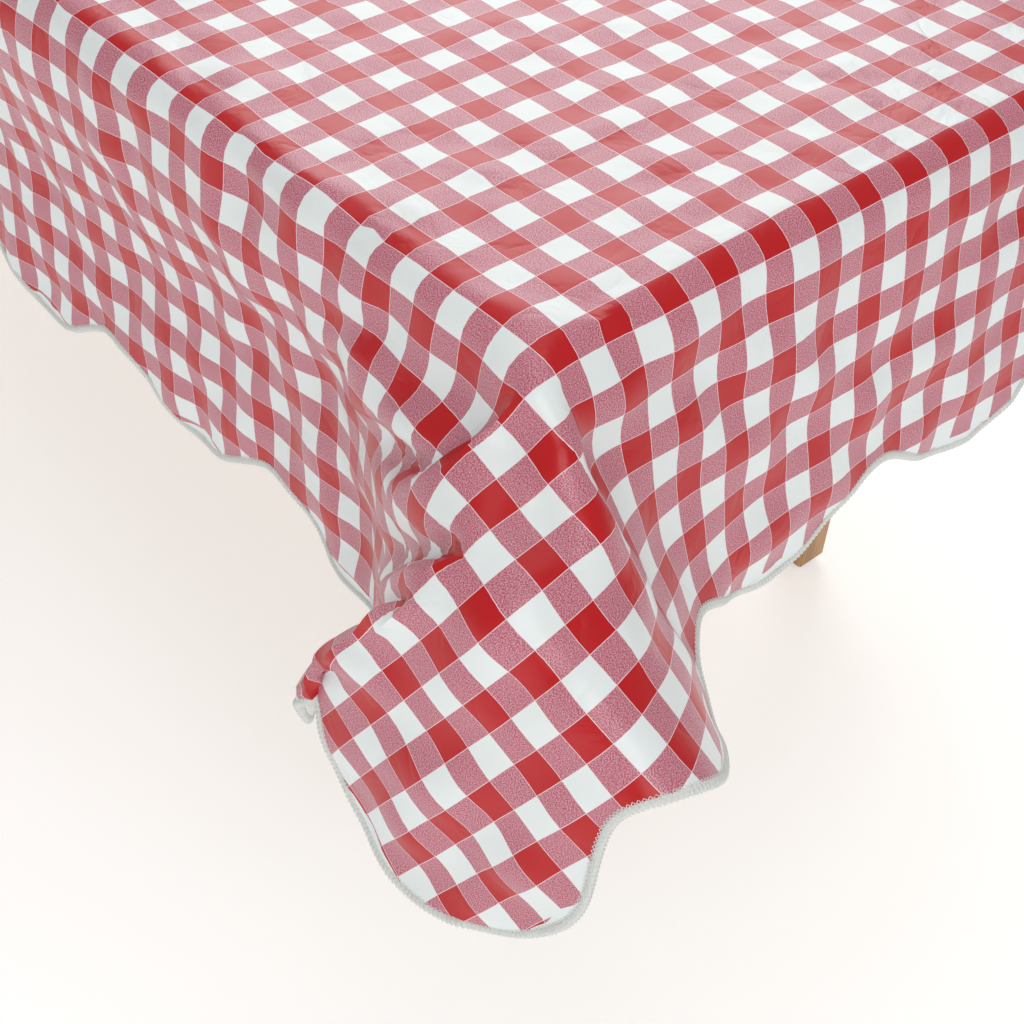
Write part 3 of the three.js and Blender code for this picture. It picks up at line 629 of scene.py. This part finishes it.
def cloth_surface(context):
    """The draped backing's underside, its normals and its flat places, worked out once."""
    if SURFACE:
        return SURFACE
    sizes = context.scene.cloth_sizes
    cut = Cut(sizes)
    flat = flat_grid(cut)
    target, firm = draped(cut, flat)
    reach = TABLE_HALF + 0.0012
    points = target.copy()
    pinned = (np.abs(flat[..., 0]) < TABLE_HALF[0] - 0.02) & (np.abs(flat[..., 1]) < TABLE_HALF[1] - 0.02)
    for step, rounds, pull, ease in ((4, 500, 0.010, 0.06), (2, 420, 0.005, 0.06), (1, 420, 0.003, 0.08)):
        every = (slice(None, None, step), slice(None, None, step))
        part = points[every].copy()
        relax(part, flat[every], target[every], firm[every], pinned[every], rounds, pull, ease, reach)
        moved = part - points[every]
        points += spread_up(moved, flat, step) if step > 1 else moved
    normals = surface_normals(points)
    on_top = smooth(points[..., 2], -0.03, -0.002)
    dents = wave_field(flat, 5, 24, 0.045, 0.16) * (0.0013 * on_top + 0.0020 * (1 - on_top))
    height = dents + creases(flat, cut, sizes.crease_pitch)
    height = np.where(pinned, np.abs(height), height)
    points = points + normals * height[..., None]
    keep_clear(points, TABLE_HALF + 0.0006, 0.0)
    points = points + np.array([*TABLE_MIDDLE, TABLE_TOP + sizes.lift])
    SURFACE.update(points=points, normals=surface_normals(points), flat=flat, cut=cut)
    return SURFACE


# ---- Meshes ----


def build_mesh(name, vertices, quads, material, chart=None):
    """A mesh object at the origin from arrays of vertices and quads, with flat places as its UV map."""
    mesh = bpy.data.meshes.new(name)
    mesh.vertices.add(len(vertices))
    mesh.vertices.foreach_set("co", np.ascontiguousarray(vertices, np.float32).ravel())
    mesh.loops.add(quads.size)
    mesh.loops.foreach_set("vertex_index", np.ascontiguousarray(quads, np.int32).ravel())
    mesh.polygons.add(len(quads))
    mesh.polygons.foreach_set("loop_start", np.arange(0, quads.size, 4, dtype=np.int32))
    mesh.update(calc_edges=True)
    if chart is not None:
        layer = mesh.uv_layers.new(name="flat")
        layer.data.foreach_set("uv", np.ascontiguousarray(chart[quads.ravel()], np.float32).ravel())
    mesh.polygons.foreach_set("use_smooth", np.ones(len(quads), bool))
    mesh.set_sharp_from_angle(angle=math.radians(50))
    mesh.materials.append(material)
    if mesh.validate():
        raise RuntimeError(f"{name} has faulty faces")
    made = bpy.data.objects.new(name, mesh)
    bpy.context.scene.collection.objects.link(made)
    return made


def shell(points, normals, low, high):
    """A sheet with thickness: the grid raised by high along its normals, the same grid raised by low
    and turned over, and a band of faces round the rim."""
    rows, columns = points.shape[:2]
    count = rows * columns
    index = np.arange(count).reshape(rows, columns)
    quads = np.stack([index[:-1, :-1], index[1:, :-1], index[1:, 1:], index[:-1, 1:]], -1).reshape(-1, 4)
    rim = np.concatenate([index[:-1, 0], index[-1, :-1], index[:0:-1, -1], index[0, :0:-1]])
    onward = np.roll(rim, -1)
    band = np.stack([onward, rim, rim + count, onward + count], 1)
    vertices = np.concatenate([(points + normals * offset).reshape(-1, 3) for offset in (high, low)])
    return vertices, np.concatenate([quads, quads[:, ::-1] + count, band])


def hem_line(surface, spacing):
    """The hem as an even closed line: its places, the direction down the sheet and the face's normal.
    The grid's rim is smoothed a little and cut at equal steps of its length."""
    points, normals = surface["points"], surface["normals"]

    def rim(grid):
        return np.concatenate([grid[:-1, 0], grid[-1, :-1], grid[:0:-1, -1], grid[0, :0:-1]])

    inner = np.pad(points[1:-1, 1:-1], ((1, 1), (1, 1), (0, 0)), mode="edge")
    hem = rim(points)
    down = unit(hem - rim(inner))
    face = rim(normals)
    steps = np.linalg.norm(np.roll(hem, -1, 0) - hem, axis=1)
    travelled = np.concatenate([[0], np.cumsum(steps)])
    total = travelled[-1]
    count = int(round(total / spacing))
    places = np.arange(count) * total / count

    def even(values):
        closed = np.vstack([values, values[:1]])
        cut = np.stack([np.interp(places, travelled, closed[:, axis]) for axis in range(3)], 1)
        weights = np.hanning(2 * int(0.010 / spacing) + 3)
        weights /= weights.sum()
        reach = len(weights) // 2
        padded = np.vstack([cut[-reach:], cut, cut[:reach]])
        return np.stack([np.convolve(padded[:, axis], weights, "valid") for axis in range(3)], 1)

    tangent = even(hem)
    tangent = unit(np.roll(tangent, -1, 0) - np.roll(tangent, 1, 0))
    face = unit(even(face))
    across = unit(np.cross(tangent, face))
    across *= np.sign((across * even(down)).sum(1, keepdims=True))
    return even(hem), across, face, places, total


def tube(centres, first_axis, second_axis, closed):
    """Quads of a tube: rings of vertices given as offsets along two axes, joined ring to ring."""
    vertices = centres[:, None] + first_axis + second_axis
    rings, sides = vertices.shape[:2]
    index = np.arange(rings * sides).reshape(rings, sides)
    onward = np.roll(index, -1, 0) if closed else index[1:]
    base = index if closed else index[:-1]
    quads = np.stack([base, np.roll(base, -1, 1), np.roll(onward, -1, 1), onward], -1)
    return vertices.reshape(-1, 3), quads.reshape(-1, 4)


# ---- Materials ----


def add(tree, kind, inputs=None, **settings):
    """Adds one node, sets its settings, and fills or links its inputs."""
    node = tree.nodes.new(kind)
    for name, value in settings.items():
        setattr(node, name, value)
    for name, value in (inputs or {}).items():
        if isinstance(value, bpy.types.NodeSocket):
            tree.links.new(value, node.inputs[name])
        else:
            node.inputs[name].default_value = value
    return node


def new_material(name):
    """An empty node material with its output."""
    material = bpy.data.materials.new(name)
    material.use_nodes = True
    material.node_tree.nodes.clear()
    return material, material.node_tree, add(material.node_tree, "ShaderNodeOutputMaterial")


def printed_vinyl(context, cut):
    """Calendered PVC film, printed with gingham and lacquered: smooth and softly glossy, with dots of
    ink in the half-tone checks and the faint waviness of thin film over cloth."""
    sizes, colours = context.scene.cloth_sizes, context.scene.cloth_colours
    material, tree, output = new_material("printed calendered PVC film")
    place = add(tree, "ShaderNodeUVMap", uv_map="flat")
    parts = add(tree, "ShaderNodeSeparateXYZ", {0: place.outputs[0]})

    def maths(operation, first, second=0.0, third=0.0):
        return add(tree, "ShaderNodeMath", {0: first, 1: second, 2: third}, operation=operation).outputs[0]

    start_x, start_y = print_origin(cut, sizes)
    across = maths("MULTIPLY_ADD", parts.outputs[1], 1 / sizes.check, -start_y / sizes.check)
    along = maths("MULTIPLY_ADD", parts.outputs[0], -1 / sizes.check, start_x / sizes.check)
    stripe_a = maths("LESS_THAN", maths("FRACT", maths("MULTIPLY", across, 0.5)), 0.5)
    stripe_b = maths("GREATER_THAN", maths("FRACT", maths("MULTIPLY", along, 0.5)), 0.5)
    share = maths("MULTIPLY", maths("ADD", stripe_a, stripe_b), 0.5)

    # Half-tone dots, printed along slanting rows about 1.2 mm apart and broken up by the paper's grain.
    slant = add(tree, "ShaderNodeMapping", {0: place.outputs[0], "Rotation": (0, 0, 0.55),
                                            "Scale": (1.0, 0.72, 1.0)})
    dots = add(tree, "ShaderNodeTexNoise", {"Vector": slant.outputs[0], "Scale": 1450.0, "Detail": 1.5,
                                            "Roughness": 0.6})
    dot_share = add(tree, "ShaderNodeMapRange", {0: dots.outputs[0], 1: 0.20, 2: 0.64}, clamp=True)
    half_tone = add(tree, "ShaderNodeMix", {0: dot_share.outputs[0], 6: linear(colours.ground),
                                            7: linear(colours.thread)}, data_type="RGBA")
    is_half = maths("COMPARE", share, 0.5, 0.1)
    is_red = maths("GREATER_THAN", share, 0.75)
    tone = add(tree, "ShaderNodeMix", {0: is_half, 6: linear(colours.pale), 7: half_tone.outputs[2]},
               data_type="RGBA")
    tone = add(tree, "ShaderNodeMix", {0: is_red, 6: tone.outputs[2], 7: linear(colours.red)},
               data_type="RGBA")

    # The thin unprinted lines between checks, where one roller's print stops short of the next.
    half_line = sizes.check_line / sizes.check / 2
    near_a = maths("LESS_THAN", maths("PINGPONG", across, 0.5), half_line)
    near_b = maths("LESS_THAN", maths("PINGPONG", along, 0.5), half_line)
    tone = add(tree, "ShaderNodeMix", {0: maths("MAXIMUM", near_a, near_b), 6: tone.outputs[2],
                                       7: linear(colours.line)}, data_type="RGBA")

    # The print ends a little inside the cut, along a slightly uneven line.
    ragged = add(tree, "ShaderNodeTexNoise", {"Vector": place.outputs[0], "Scale": 26.0, "Detail": 1.0})
    waver = maths("MULTIPLY_ADD", ragged.outputs[0], 0.014, -0.007)
    edges = []
    for axis in (0, 1):
        centred = maths("ABSOLUTE", maths("SUBTRACT", parts.outputs[axis], float(cut.shift[axis])))
        limit = maths("SUBTRACT", float(cut.half[axis] - sizes.print_margin), waver)
        edges.append(maths("GREATER_THAN", centred, limit))
    tone = add(tree, "ShaderNodeMix", {0: maths("MAXIMUM", *edges), 6: tone.outputs[2],
                                       7: linear(colours.pale)}, data_type="RGBA")

    # Ink density varies slowly by a few parts in a hundred.
    uneven = add(tree, "ShaderNodeTexNoise", {"Vector": place.outputs[0], "Scale": 7.0, "Detail": 3.0})
    shade = add(tree, "ShaderNodeMapRange", {0: uneven.outputs[0], 1: 0.3, 2: 0.7, 3: 0.965, 4: 1.02})
    tinted = add(tree, "ShaderNodeVectorMath", {0: tone.outputs[2], 1: shade.outputs[0]}, operation="MULTIPLY")

    # Small sharp wrinkles of stiff film, 20 to 60 mm long, and a fine grain from the calender roll.
    wrinkles = add(tree, "ShaderNodeTexNoise", {"Vector": place.outputs[0], "Scale": 17.0, "Detail": 3.5,
                                                "Roughness": 0.52, "Distortion": 0.6})
    folds = maths("ABSOLUTE", maths("SUBTRACT", wrinkles.outputs[0], 0.5))
    soft = maths("SMOOTH_MIN", folds, 0.10, 0.08)
    grain = add(tree, "ShaderNodeTexNoise", {"Vector": place.outputs[0], "Scale": 420.0, "Detail": 2.0})
    first = add(tree, "ShaderNodeBump", {"Strength": 0.55, "Distance": 0.006, "Height": soft})
    second = add(tree, "ShaderNodeBump", {"Strength": 0.25, "Distance": 0.00025, "Height": grain.outputs[0],
                                          "Normal": first.outputs[0]})
    worn = add(tree, "ShaderNodeMapRange", {0: uneven.outputs[0], 1: 0.3, 2: 0.7, 3: 0.27, 4: 0.38})
    shader = add(tree, "ShaderNodeBsdfPrincipled", {
        "Base Color": tinted.outputs[0], "Roughness": worn.outputs[0], "IOR": 1.45,
        "Normal": second.outputs[0]})
    tree.links.new(shader.outputs[0], output.inputs[0])
    return material


def print_origin(cut, sizes):
    """The place where two check lines cross near the front right corner, from the table's middle."""
    return cut.fold[0] - 1.0 * sizes.check, -cut.fold[1] + 0.5 * sizes.check


def brushed_flannel(context):
    """Raised polyester flannel: matt and white, with a short uneven nap that catches light at the edge."""
    material, tree, output = new_material("brushed polyester flannel")
    place = add(tree, "ShaderNodeTexCoord")
    nap = add(tree, "ShaderNodeTexNoise", {"Vector": place.outputs["Object"], "Scale": 520.0, "Detail": 3.0,
                                           "Roughness": 0.7})
    patches = add(tree, "ShaderNodeTexNoise", {"Vector": place.outputs["Object"], "Scale": 34.0})
    base = linear(context.scene.cloth_colours.backing)
    darker = tuple(0.86 * part for part in base[:3]) + (1.0,)
    tone = add(tree, "ShaderNodeMix", {0: nap.outputs[0], 6: darker, 7: base}, data_type="RGBA")
    height = add(tree, "ShaderNodeMath", {0: nap.outputs[0], 1: patches.outputs[0]}, operation="ADD")
    bump = add(tree, "ShaderNodeBump", {"Strength": 0.6, "Distance": 0.0006, "Height": height.outputs[0]})
    shader = add(tree, "ShaderNodeBsdfPrincipled", {
        "Base Color": tone.outputs[2], "Roughness": 0.95, "Sheen Weight": 0.35, "Sheen Roughness": 0.6,
        "Normal": bump.outputs[0]})
    tree.links.new(shader.outputs[0], output.inputs[0])
    return material


def crochet_cotton(context):
    """Mercerised crochet cotton: bright white, softly lustrous, with the twist of its plies."""
    material, tree, output = new_material("mercerised crochet cotton")
    place = add(tree, "ShaderNodeTexCoord")
    plies = add(tree, "ShaderNodeTexNoise", {"Vector": place.outputs["Object"], "Scale": 900.0, "Detail": 2.0,
                                             "Roughness": 0.65})
    loops = add(tree, "ShaderNodeTexVoronoi", {"Vector": place.outputs["Object"], "Scale": 420.0})
    base = linear(context.scene.cloth_colours.cotton)
    darker = tuple(0.72 * part for part in base[:3]) + (1.0,)
    tone = add(tree, "ShaderNodeMix", {0: plies.outputs[0], 6: darker, 7: base}, data_type="RGBA")
    height = add(tree, "ShaderNodeMath", {0: loops.outputs[0], 1: plies.outputs[0]}, operation="SUBTRACT")
    bump = add(tree, "ShaderNodeBump", {"Strength": 0.7, "Distance": 0.0006, "Height": height.outputs[0]})
    shader = add(tree, "ShaderNodeBsdfPrincipled", {
        "Base Color": tone.outputs[2], "Roughness": 0.72, "Sheen Weight": 0.25, "Sheen Roughness": 0.4,
        "Normal": bump.outputs[0]})
    tree.links.new(shader.outputs[0], output.inputs[0])
    return material


def sawn_wood(name, light, dark, axis, roughness):
    """Planed and finished timber: growth rings drawn out along the board, with short open pores."""
    material, tree, output = new_material(name)
    place = add(tree, "ShaderNodeTexCoord")
    stretch = [7.0, 7.0, 7.0]
    stretch[axis] = 0.45
    rings = add(tree, "ShaderNodeMapping", {0: place.outputs["Object"], "Scale": stretch})
    bands = add(tree, "ShaderNodeTexNoise", {"Vector": rings.outputs[0], "Scale": 5.0, "Detail": 4.0,
                                             "Roughness": 0.55, "Distortion": 0.8})
    fine = [1.0, 1.0, 1.0]
    fine[axis] = 0.035
    pores_at = add(tree, "ShaderNodeMapping", {0: place.outputs["Object"], "Scale": fine})
    pores = add(tree, "ShaderNodeTexNoise", {"Vector": pores_at.outputs[0], "Scale": 900.0, "Detail": 2.0})
    pore_share = add(tree, "ShaderNodeMapRange", {0: pores.outputs[0], 1: 0.60, 2: 0.72}, clamp=True)
    ring_share = add(tree, "ShaderNodeMapRange", {0: bands.outputs[0], 1: 0.35, 2: 0.68}, clamp=True)
    tone = add(tree, "ShaderNodeMix", {0: ring_share.outputs[0], 6: linear(light), 7: linear(dark)},
               data_type="RGBA")
    deep = tuple(0.45 * part for part in linear(dark)[:3]) + (1.0,)
    tone = add(tree, "ShaderNodeMix", {0: pore_share.outputs[0], 6: tone.outputs[2], 7: deep}, data_type="RGBA")
    bump = add(tree, "ShaderNodeBump", {"Strength": 0.3, "Distance": 0.0003, "Height": pores.outputs[0]},
               invert=True)
    rough = add(tree, "ShaderNodeMapRange", {0: bands.outputs[0], 3: roughness - 0.06, 4: roughness + 0.1})
    shader = add(tree, "ShaderNodeBsdfPrincipled", {
        "Base Color": tone.outputs[2], "Roughness": rough.outputs[0], "IOR": 1.5, "Normal": bump.outputs[0]})
    tree.links.new(shader.outputs[0], output.inputs[0])
    return material


def zinc_plate(colour):
    """Bright zinc-plated steel: grey metal with a faint crystalline unevenness and small scuffs."""
    material, tree, output = new_material("zinc-plated steel")
    place = add(tree, "ShaderNodeTexCoord")
    spangle = add(tree, "ShaderNodeTexNoise", {"Vector": place.outputs["Object"], "Scale": 260.0, "Detail": 3.0})
    rough = add(tree, "ShaderNodeMapRange", {0: spangle.outputs[0], 3: 0.26, 4: 0.48})
    tone = add(tree, "ShaderNodeMix", {0: spangle.outputs[0], 6: linear("#9DA1A6"), 7: linear(colour)},
               data_type="RGBA")
    bump = add(tree, "ShaderNodeBump", {"Strength": 0.15, "Distance": 0.0002, "Height": spangle.outputs[0]})
    shader = add(tree, "ShaderNodeBsdfPrincipled", {
        "Base Color": tone.outputs[2], "Metallic": 1.0, "Roughness": rough.outputs[0], "Normal": bump.outputs[0]})
    tree.links.new(shader.outputs[0], output.inputs[0])
    return material


def moulded_nylon(colour):
    """Injection-moulded nylon: near black, satin, with a fine spark-eroded grain."""
    material, tree, output = new_material("moulded nylon")
    place = add(tree, "ShaderNodeTexCoord")
    grain = add(tree, "ShaderNodeTexNoise", {"Vector": place.outputs["Object"], "Scale": 1400.0, "Detail": 2.0})
    rough = add(tree, "ShaderNodeMapRange", {0: grain.outputs[0], 3: 0.42, 4: 0.60})
    bump = add(tree, "ShaderNodeBump", {"Strength": 0.3, "Distance": 0.0001, "Height": grain.outputs[0]})
    shader = add(tree, "ShaderNodeBsdfPrincipled", {
        "Base Color": linear(colour), "Roughness": rough.outputs[0], "Normal": bump.outputs[0]})
    tree.links.new(shader.outputs[0], output.inputs[0])
    return material


# ---- Pieces ----


class CLOTH_OT_sheet(bpy.types.Operator):
    """Lays the cloth over the table and builds its printed film and flannel backing"""

    bl_idname = "cloth.sheet"
    bl_label = "Cloth"

    def execute(self, context):
        sizes = context.scene.cloth_sizes
        surface = cloth_surface(context)
        points, normals, flat, cut = (surface[name] for name in ("points", "normals", "flat", "cut"))
        chart = np.concatenate([flat.reshape(-1, 2)] * 2)
        layers = (
            ("printed_film", sizes.film_start, sizes.film_end, printed_vinyl(context, cut),
             "vinyl_face", "printed_vinyl"),
            ("flannel_back", 0.0, sizes.flannel, brushed_flannel(context),
             "flannel_backing", "brushed_flannel"),
        )
        for name, low, high, material, node, slot in layers:
            vertices, quads = shell(points, normals, low, high)
            piece = build_mesh(name, vertices, quads, material, chart)
            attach(piece, "tablecloth")
            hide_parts(node)
        return {"FINISHED"}


class CLOTH_OT_edging(bpy.types.Operator):
    """Crochets the picot edging along the scalloped hem"""

    bl_idname = "cloth.edging"
    bl_label = "Crocheted edging"

    def execute(self, context):
        sizes = context.scene.cloth_sizes
        hem, down, face, places, total = hem_line(cloth_surface(context), sizes.picot / 5)
        picots = round(total / sizes.picot)
        phase = places / total * picots
        bead = np.abs(np.sin(np.pi * phase))[:, None] ** 0.7
        turn = np.arange(8) / 8 * 2 * np.pi
        twist = 1 + 0.14 * np.sin(4 * np.pi * phase[:, None] + 2 * turn)
        outer = np.where(np.cos(turn) > 0, 0.62 + 0.38 * bead, 1.0)
        wide = 0.36 * sizes.edging_width * np.cos(turn) * outer * twist
        thick = sizes.edging_thickness / 2 * np.sin(turn) * (0.74 + 0.26 * bead) * twist
        centre = hem + down * (0.36 * sizes.edging_width - 0.0012) + face * sizes.film_end / 2
        vertices, quads = tube(centre, wide[..., None] * down[:, None], thick[..., None] * face[:, None], True)
        piece = build_mesh("crochet_picot_edging", vertices, quads[:, ::-1], crochet_cotton(context))
        fix_normals(piece)
        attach(piece, "tablecloth")
        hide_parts("crochet_edging")
        return {"FINISHED"}


def fix_normals(piece):
    """Points every face outwards."""
    with bpy.context.temp_override(active_object=piece, object=piece):
        import bmesh
        shape = bmesh.new()
        shape.from_mesh(piece.data)
        bmesh.ops.recalc_face_normals(shape, faces=shape.faces)
        shape.to_mesh(piece.data)
        shape.free()


class CLOTH_OT_stitches(bpy.types.Operator):
    """Runs the overlock thread that fixes the edging to the film"""

    bl_idname = "cloth.stitches"
    bl_label = "Overlock stitches"

    def execute(self, context):
        sizes = context.scene.cloth_sizes
        hem, down, face, places, total = hem_line(cloth_surface(context), sizes.stitch / 4)
        stitches = round(total / sizes.stitch)
        phase = places / total * stitches
        swing = 2 * np.abs(2 * (phase % 1) - 1) - 1
        line = hem + down * (0.0008 * swing - 0.0014)[:, None] + face * (sizes.film_end + 0.00015)
        onward = unit(np.roll(line, -1, 0) - np.roll(line, 1, 0))
        aside = unit(np.cross(onward, face))
        turn = np.arange(5) / 5 * 2 * np.pi
        radius = 0.00030
        vertices, quads = tube(
            line, radius * np.cos(turn)[None, :, None] * aside[:, None],
            radius * np.sin(turn)[None, :, None] * face[:, None], True)
        piece = build_mesh("overlock_thread", vertices, quads, bpy.data.materials["mercerised crochet cotton"])
        fix_normals(piece)
        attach(piece, "tablecloth")
        return {"FINISHED"}


class CLOTH_OT_table(bpy.types.Operator):
    """Finishes the table's wood, steel and nylon"""

    bl_idname = "cloth.table"
    bl_label = "Table finishes"

    def execute(self, context):
        colours = context.scene.table_colours
        oak = [sawn_wood(f"lacquered oak, grain along {axis}", colours.oak_light, colours.oak_dark, i, 0.42)
               for i, axis in enumerate("XYZ")]
        pale = [sawn_wood(f"planed beech, grain along {axis}", colours.pale_light, colours.pale_dark, i, 0.62)
                for i, axis in enumerate("XYZ")]
        steel, nylon = zinc_plate(colours.steel), moulded_nylon(colours.nylon)
        for part in frame["record"]["subparts"]:
            node, slot = part["node"], part["material_slot"]
            low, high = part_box(node)
            grain = int(np.argmax(np.array(high) - np.array(low)))
            finish = {"oak": oak[grain], "pale_wood": pale[grain], "zinc_steel": steel, "black_nylon": nylon}
            if slot not in finish:
                continue
            for holder in frame["nodes"][node].material_slots:
                holder.link = "OBJECT"
                holder.material = finish[slot]
        return {"FINISHED"}


class CLOTH_OT_stage(bpy.types.Operator):
    """Lays the floor and sets the lights and the camera"""

    bl_idname = "cloth.stage"
    bl_label = "Stage"

    def execute(self, context):
        settings = context.scene.stage_settings
        scene = context.scene
        material, tree, output = new_material("painted floor")
        place = add(tree, "ShaderNodeTexCoord")
        mottle = add(tree, "ShaderNodeTexNoise", {"Vector": place.outputs["Object"], "Scale": 3.0})
        base = linear(settings.floor)
        tone = add(tree, "ShaderNodeMix", {0: mottle.outputs[0], 6: base,
                                           7: tuple(0.985 * part for part in base[:3]) + (1.0,)}, data_type="RGBA")
        shader = add(tree, "ShaderNodeBsdfPrincipled", {
            "Base Color": tone.outputs[2], "Roughness": 0.85, "Emission Color": (1.0, 1.0, 1.0, 1.0),
            "Emission Strength": settings.glow})
        tree.links.new(shader.outputs[0], output.inputs[0])
        span = np.linspace(-9, 9, 7)
        x, y = np.meshgrid(span, span, indexing="ij")
        index = np.arange(49).reshape(7, 7)
        quads = np.stack([index[:-1, :-1], index[1:, :-1], index[1:, 1:], index[:-1, 1:]], -1).reshape(-1, 4)
        floor = build_mesh("floor", np.stack([x, y, 0 * x - 0.0005], -1).reshape(-1, 3), quads, material)

        world = bpy.data.worlds.new("studio")
        world.use_nodes = True
        world.node_tree.nodes["Background"].inputs[0].default_value = (1.0, 1.0, 1.0, 1.0)
        world.node_tree.nodes["Background"].inputs[1].default_value = 0.40
        scene.world = world
        lamps = (
            ("softbox over the far side", (-1.9, 2.1, 2.7), (0.2, -0.1, 0.75), 2.6, 58.0),
            ("softbox in front", (2.7, -1.9, 2.2), (0.5, -0.3, 0.5), 2.0, 34.0),
            ("softbox overhead", (0.3, 0.0, 3.2), (0.2, 0.0, 0.7), 2.4, 16.0),
        )
        for name, spot, aim, size, power in lamps:
            lamp = bpy.data.lights.new(name, "AREA")
            lamp.size, lamp.energy = size, power
            holder = bpy.data.objects.new(name, lamp)
            holder.location = spot
            holder.rotation_euler = (Vector(aim) - Vector(spot)).to_track_quat("-Z", "Y").to_euler()
            scene.collection.objects.link(holder)

        cut = Cut(scene.cloth_sizes)
        corner = np.array([
            TABLE_MIDDLE[0] + cut.fold[0], TABLE_MIDDLE[1] - cut.fold[1],
            TABLE_TOP + scene.cloth_sizes.lift + scene.cloth_sizes.film_end])
        a, e, r = settings.azimuth, settings.elevation, settings.roll
        back = Vector((math.sin(a) * math.cos(e), -math.cos(a) * math.cos(e), math.sin(e)))
        level = Vector((math.cos(a), math.sin(a), 0))
        upright = back.cross(level)
        right = level * math.cos(r) + upright * math.sin(r)
        top = back.cross(right)
        camera = bpy.data.objects.new("camera", bpy.data.cameras.new("camera"))
        camera.data.lens, camera.data.sensor_width = settings.lens, 36
        camera.data.clip_start, camera.data.clip_end = 0.05, 60
        turned = Matrix((right, top, back)).transposed().to_4x4()
        camera.matrix_world = Matrix.Translation(Vector(corner) + Vector(settings.eye_out)) @ turned
        scene.collection.objects.link(camera)
        scene.camera = camera
        scene.view_settings.view_transform = "Standard"
        return {"FINISHED"}


class CLOTH_PT_panel(bpy.types.Panel):
    """Lists the pieces and their sizes"""

    bl_idname = "CLOTH_PT_panel"
    bl_label = "Tablecloth"
    bl_space_type = "VIEW_3D"
    bl_region_type = "UI"
    bl_category = "Tablecloth"

    def draw(self, context):
        for operator in PIECES:
            self.layout.operator(operator.bl_idname)
        for name, group in GROUPS.items():
            box = self.layout.box()
            for setting in group.__annotations__:
                box.prop(getattr(context.scene, name), setting)


PIECES = (CLOTH_OT_sheet, CLOTH_OT_edging, CLOTH_OT_stitches, CLOTH_OT_table, CLOTH_OT_stage)
GROUPS = {
    "cloth_sizes": ClothSizes, "cloth_colours": ClothColours,
    "table_colours": TableColours, "stage_settings": StageSettings,
}


def register():
    """Adds the settings, the operators and the panel."""
    for group in GROUPS.values():
        bpy.utils.register_class(group)
    for piece in (*PIECES, CLOTH_PT_panel):
        bpy.utils.register_class(piece)
    for name, group in GROUPS.items():
        setattr(bpy.types.Scene, name, bpy.props.PointerProperty(type=group))


def unregister():
    """Takes them away again."""
    for name in GROUPS:
        delattr(bpy.types.Scene, name)
    for piece in (CLOTH_PT_panel, *reversed(PIECES)):
        bpy.utils.unregister_class(piece)
    for group in reversed(GROUPS.values()):
        bpy.utils.unregister_class(group)


def main():
    """Builds every piece in order."""
    register()
    bpy.ops.cloth.sheet()
    bpy.ops.cloth.edging()
    bpy.ops.cloth.stitches()
    bpy.ops.cloth.table()
    bpy.ops.cloth.stage()


if __name__ == "__main__":
    main()
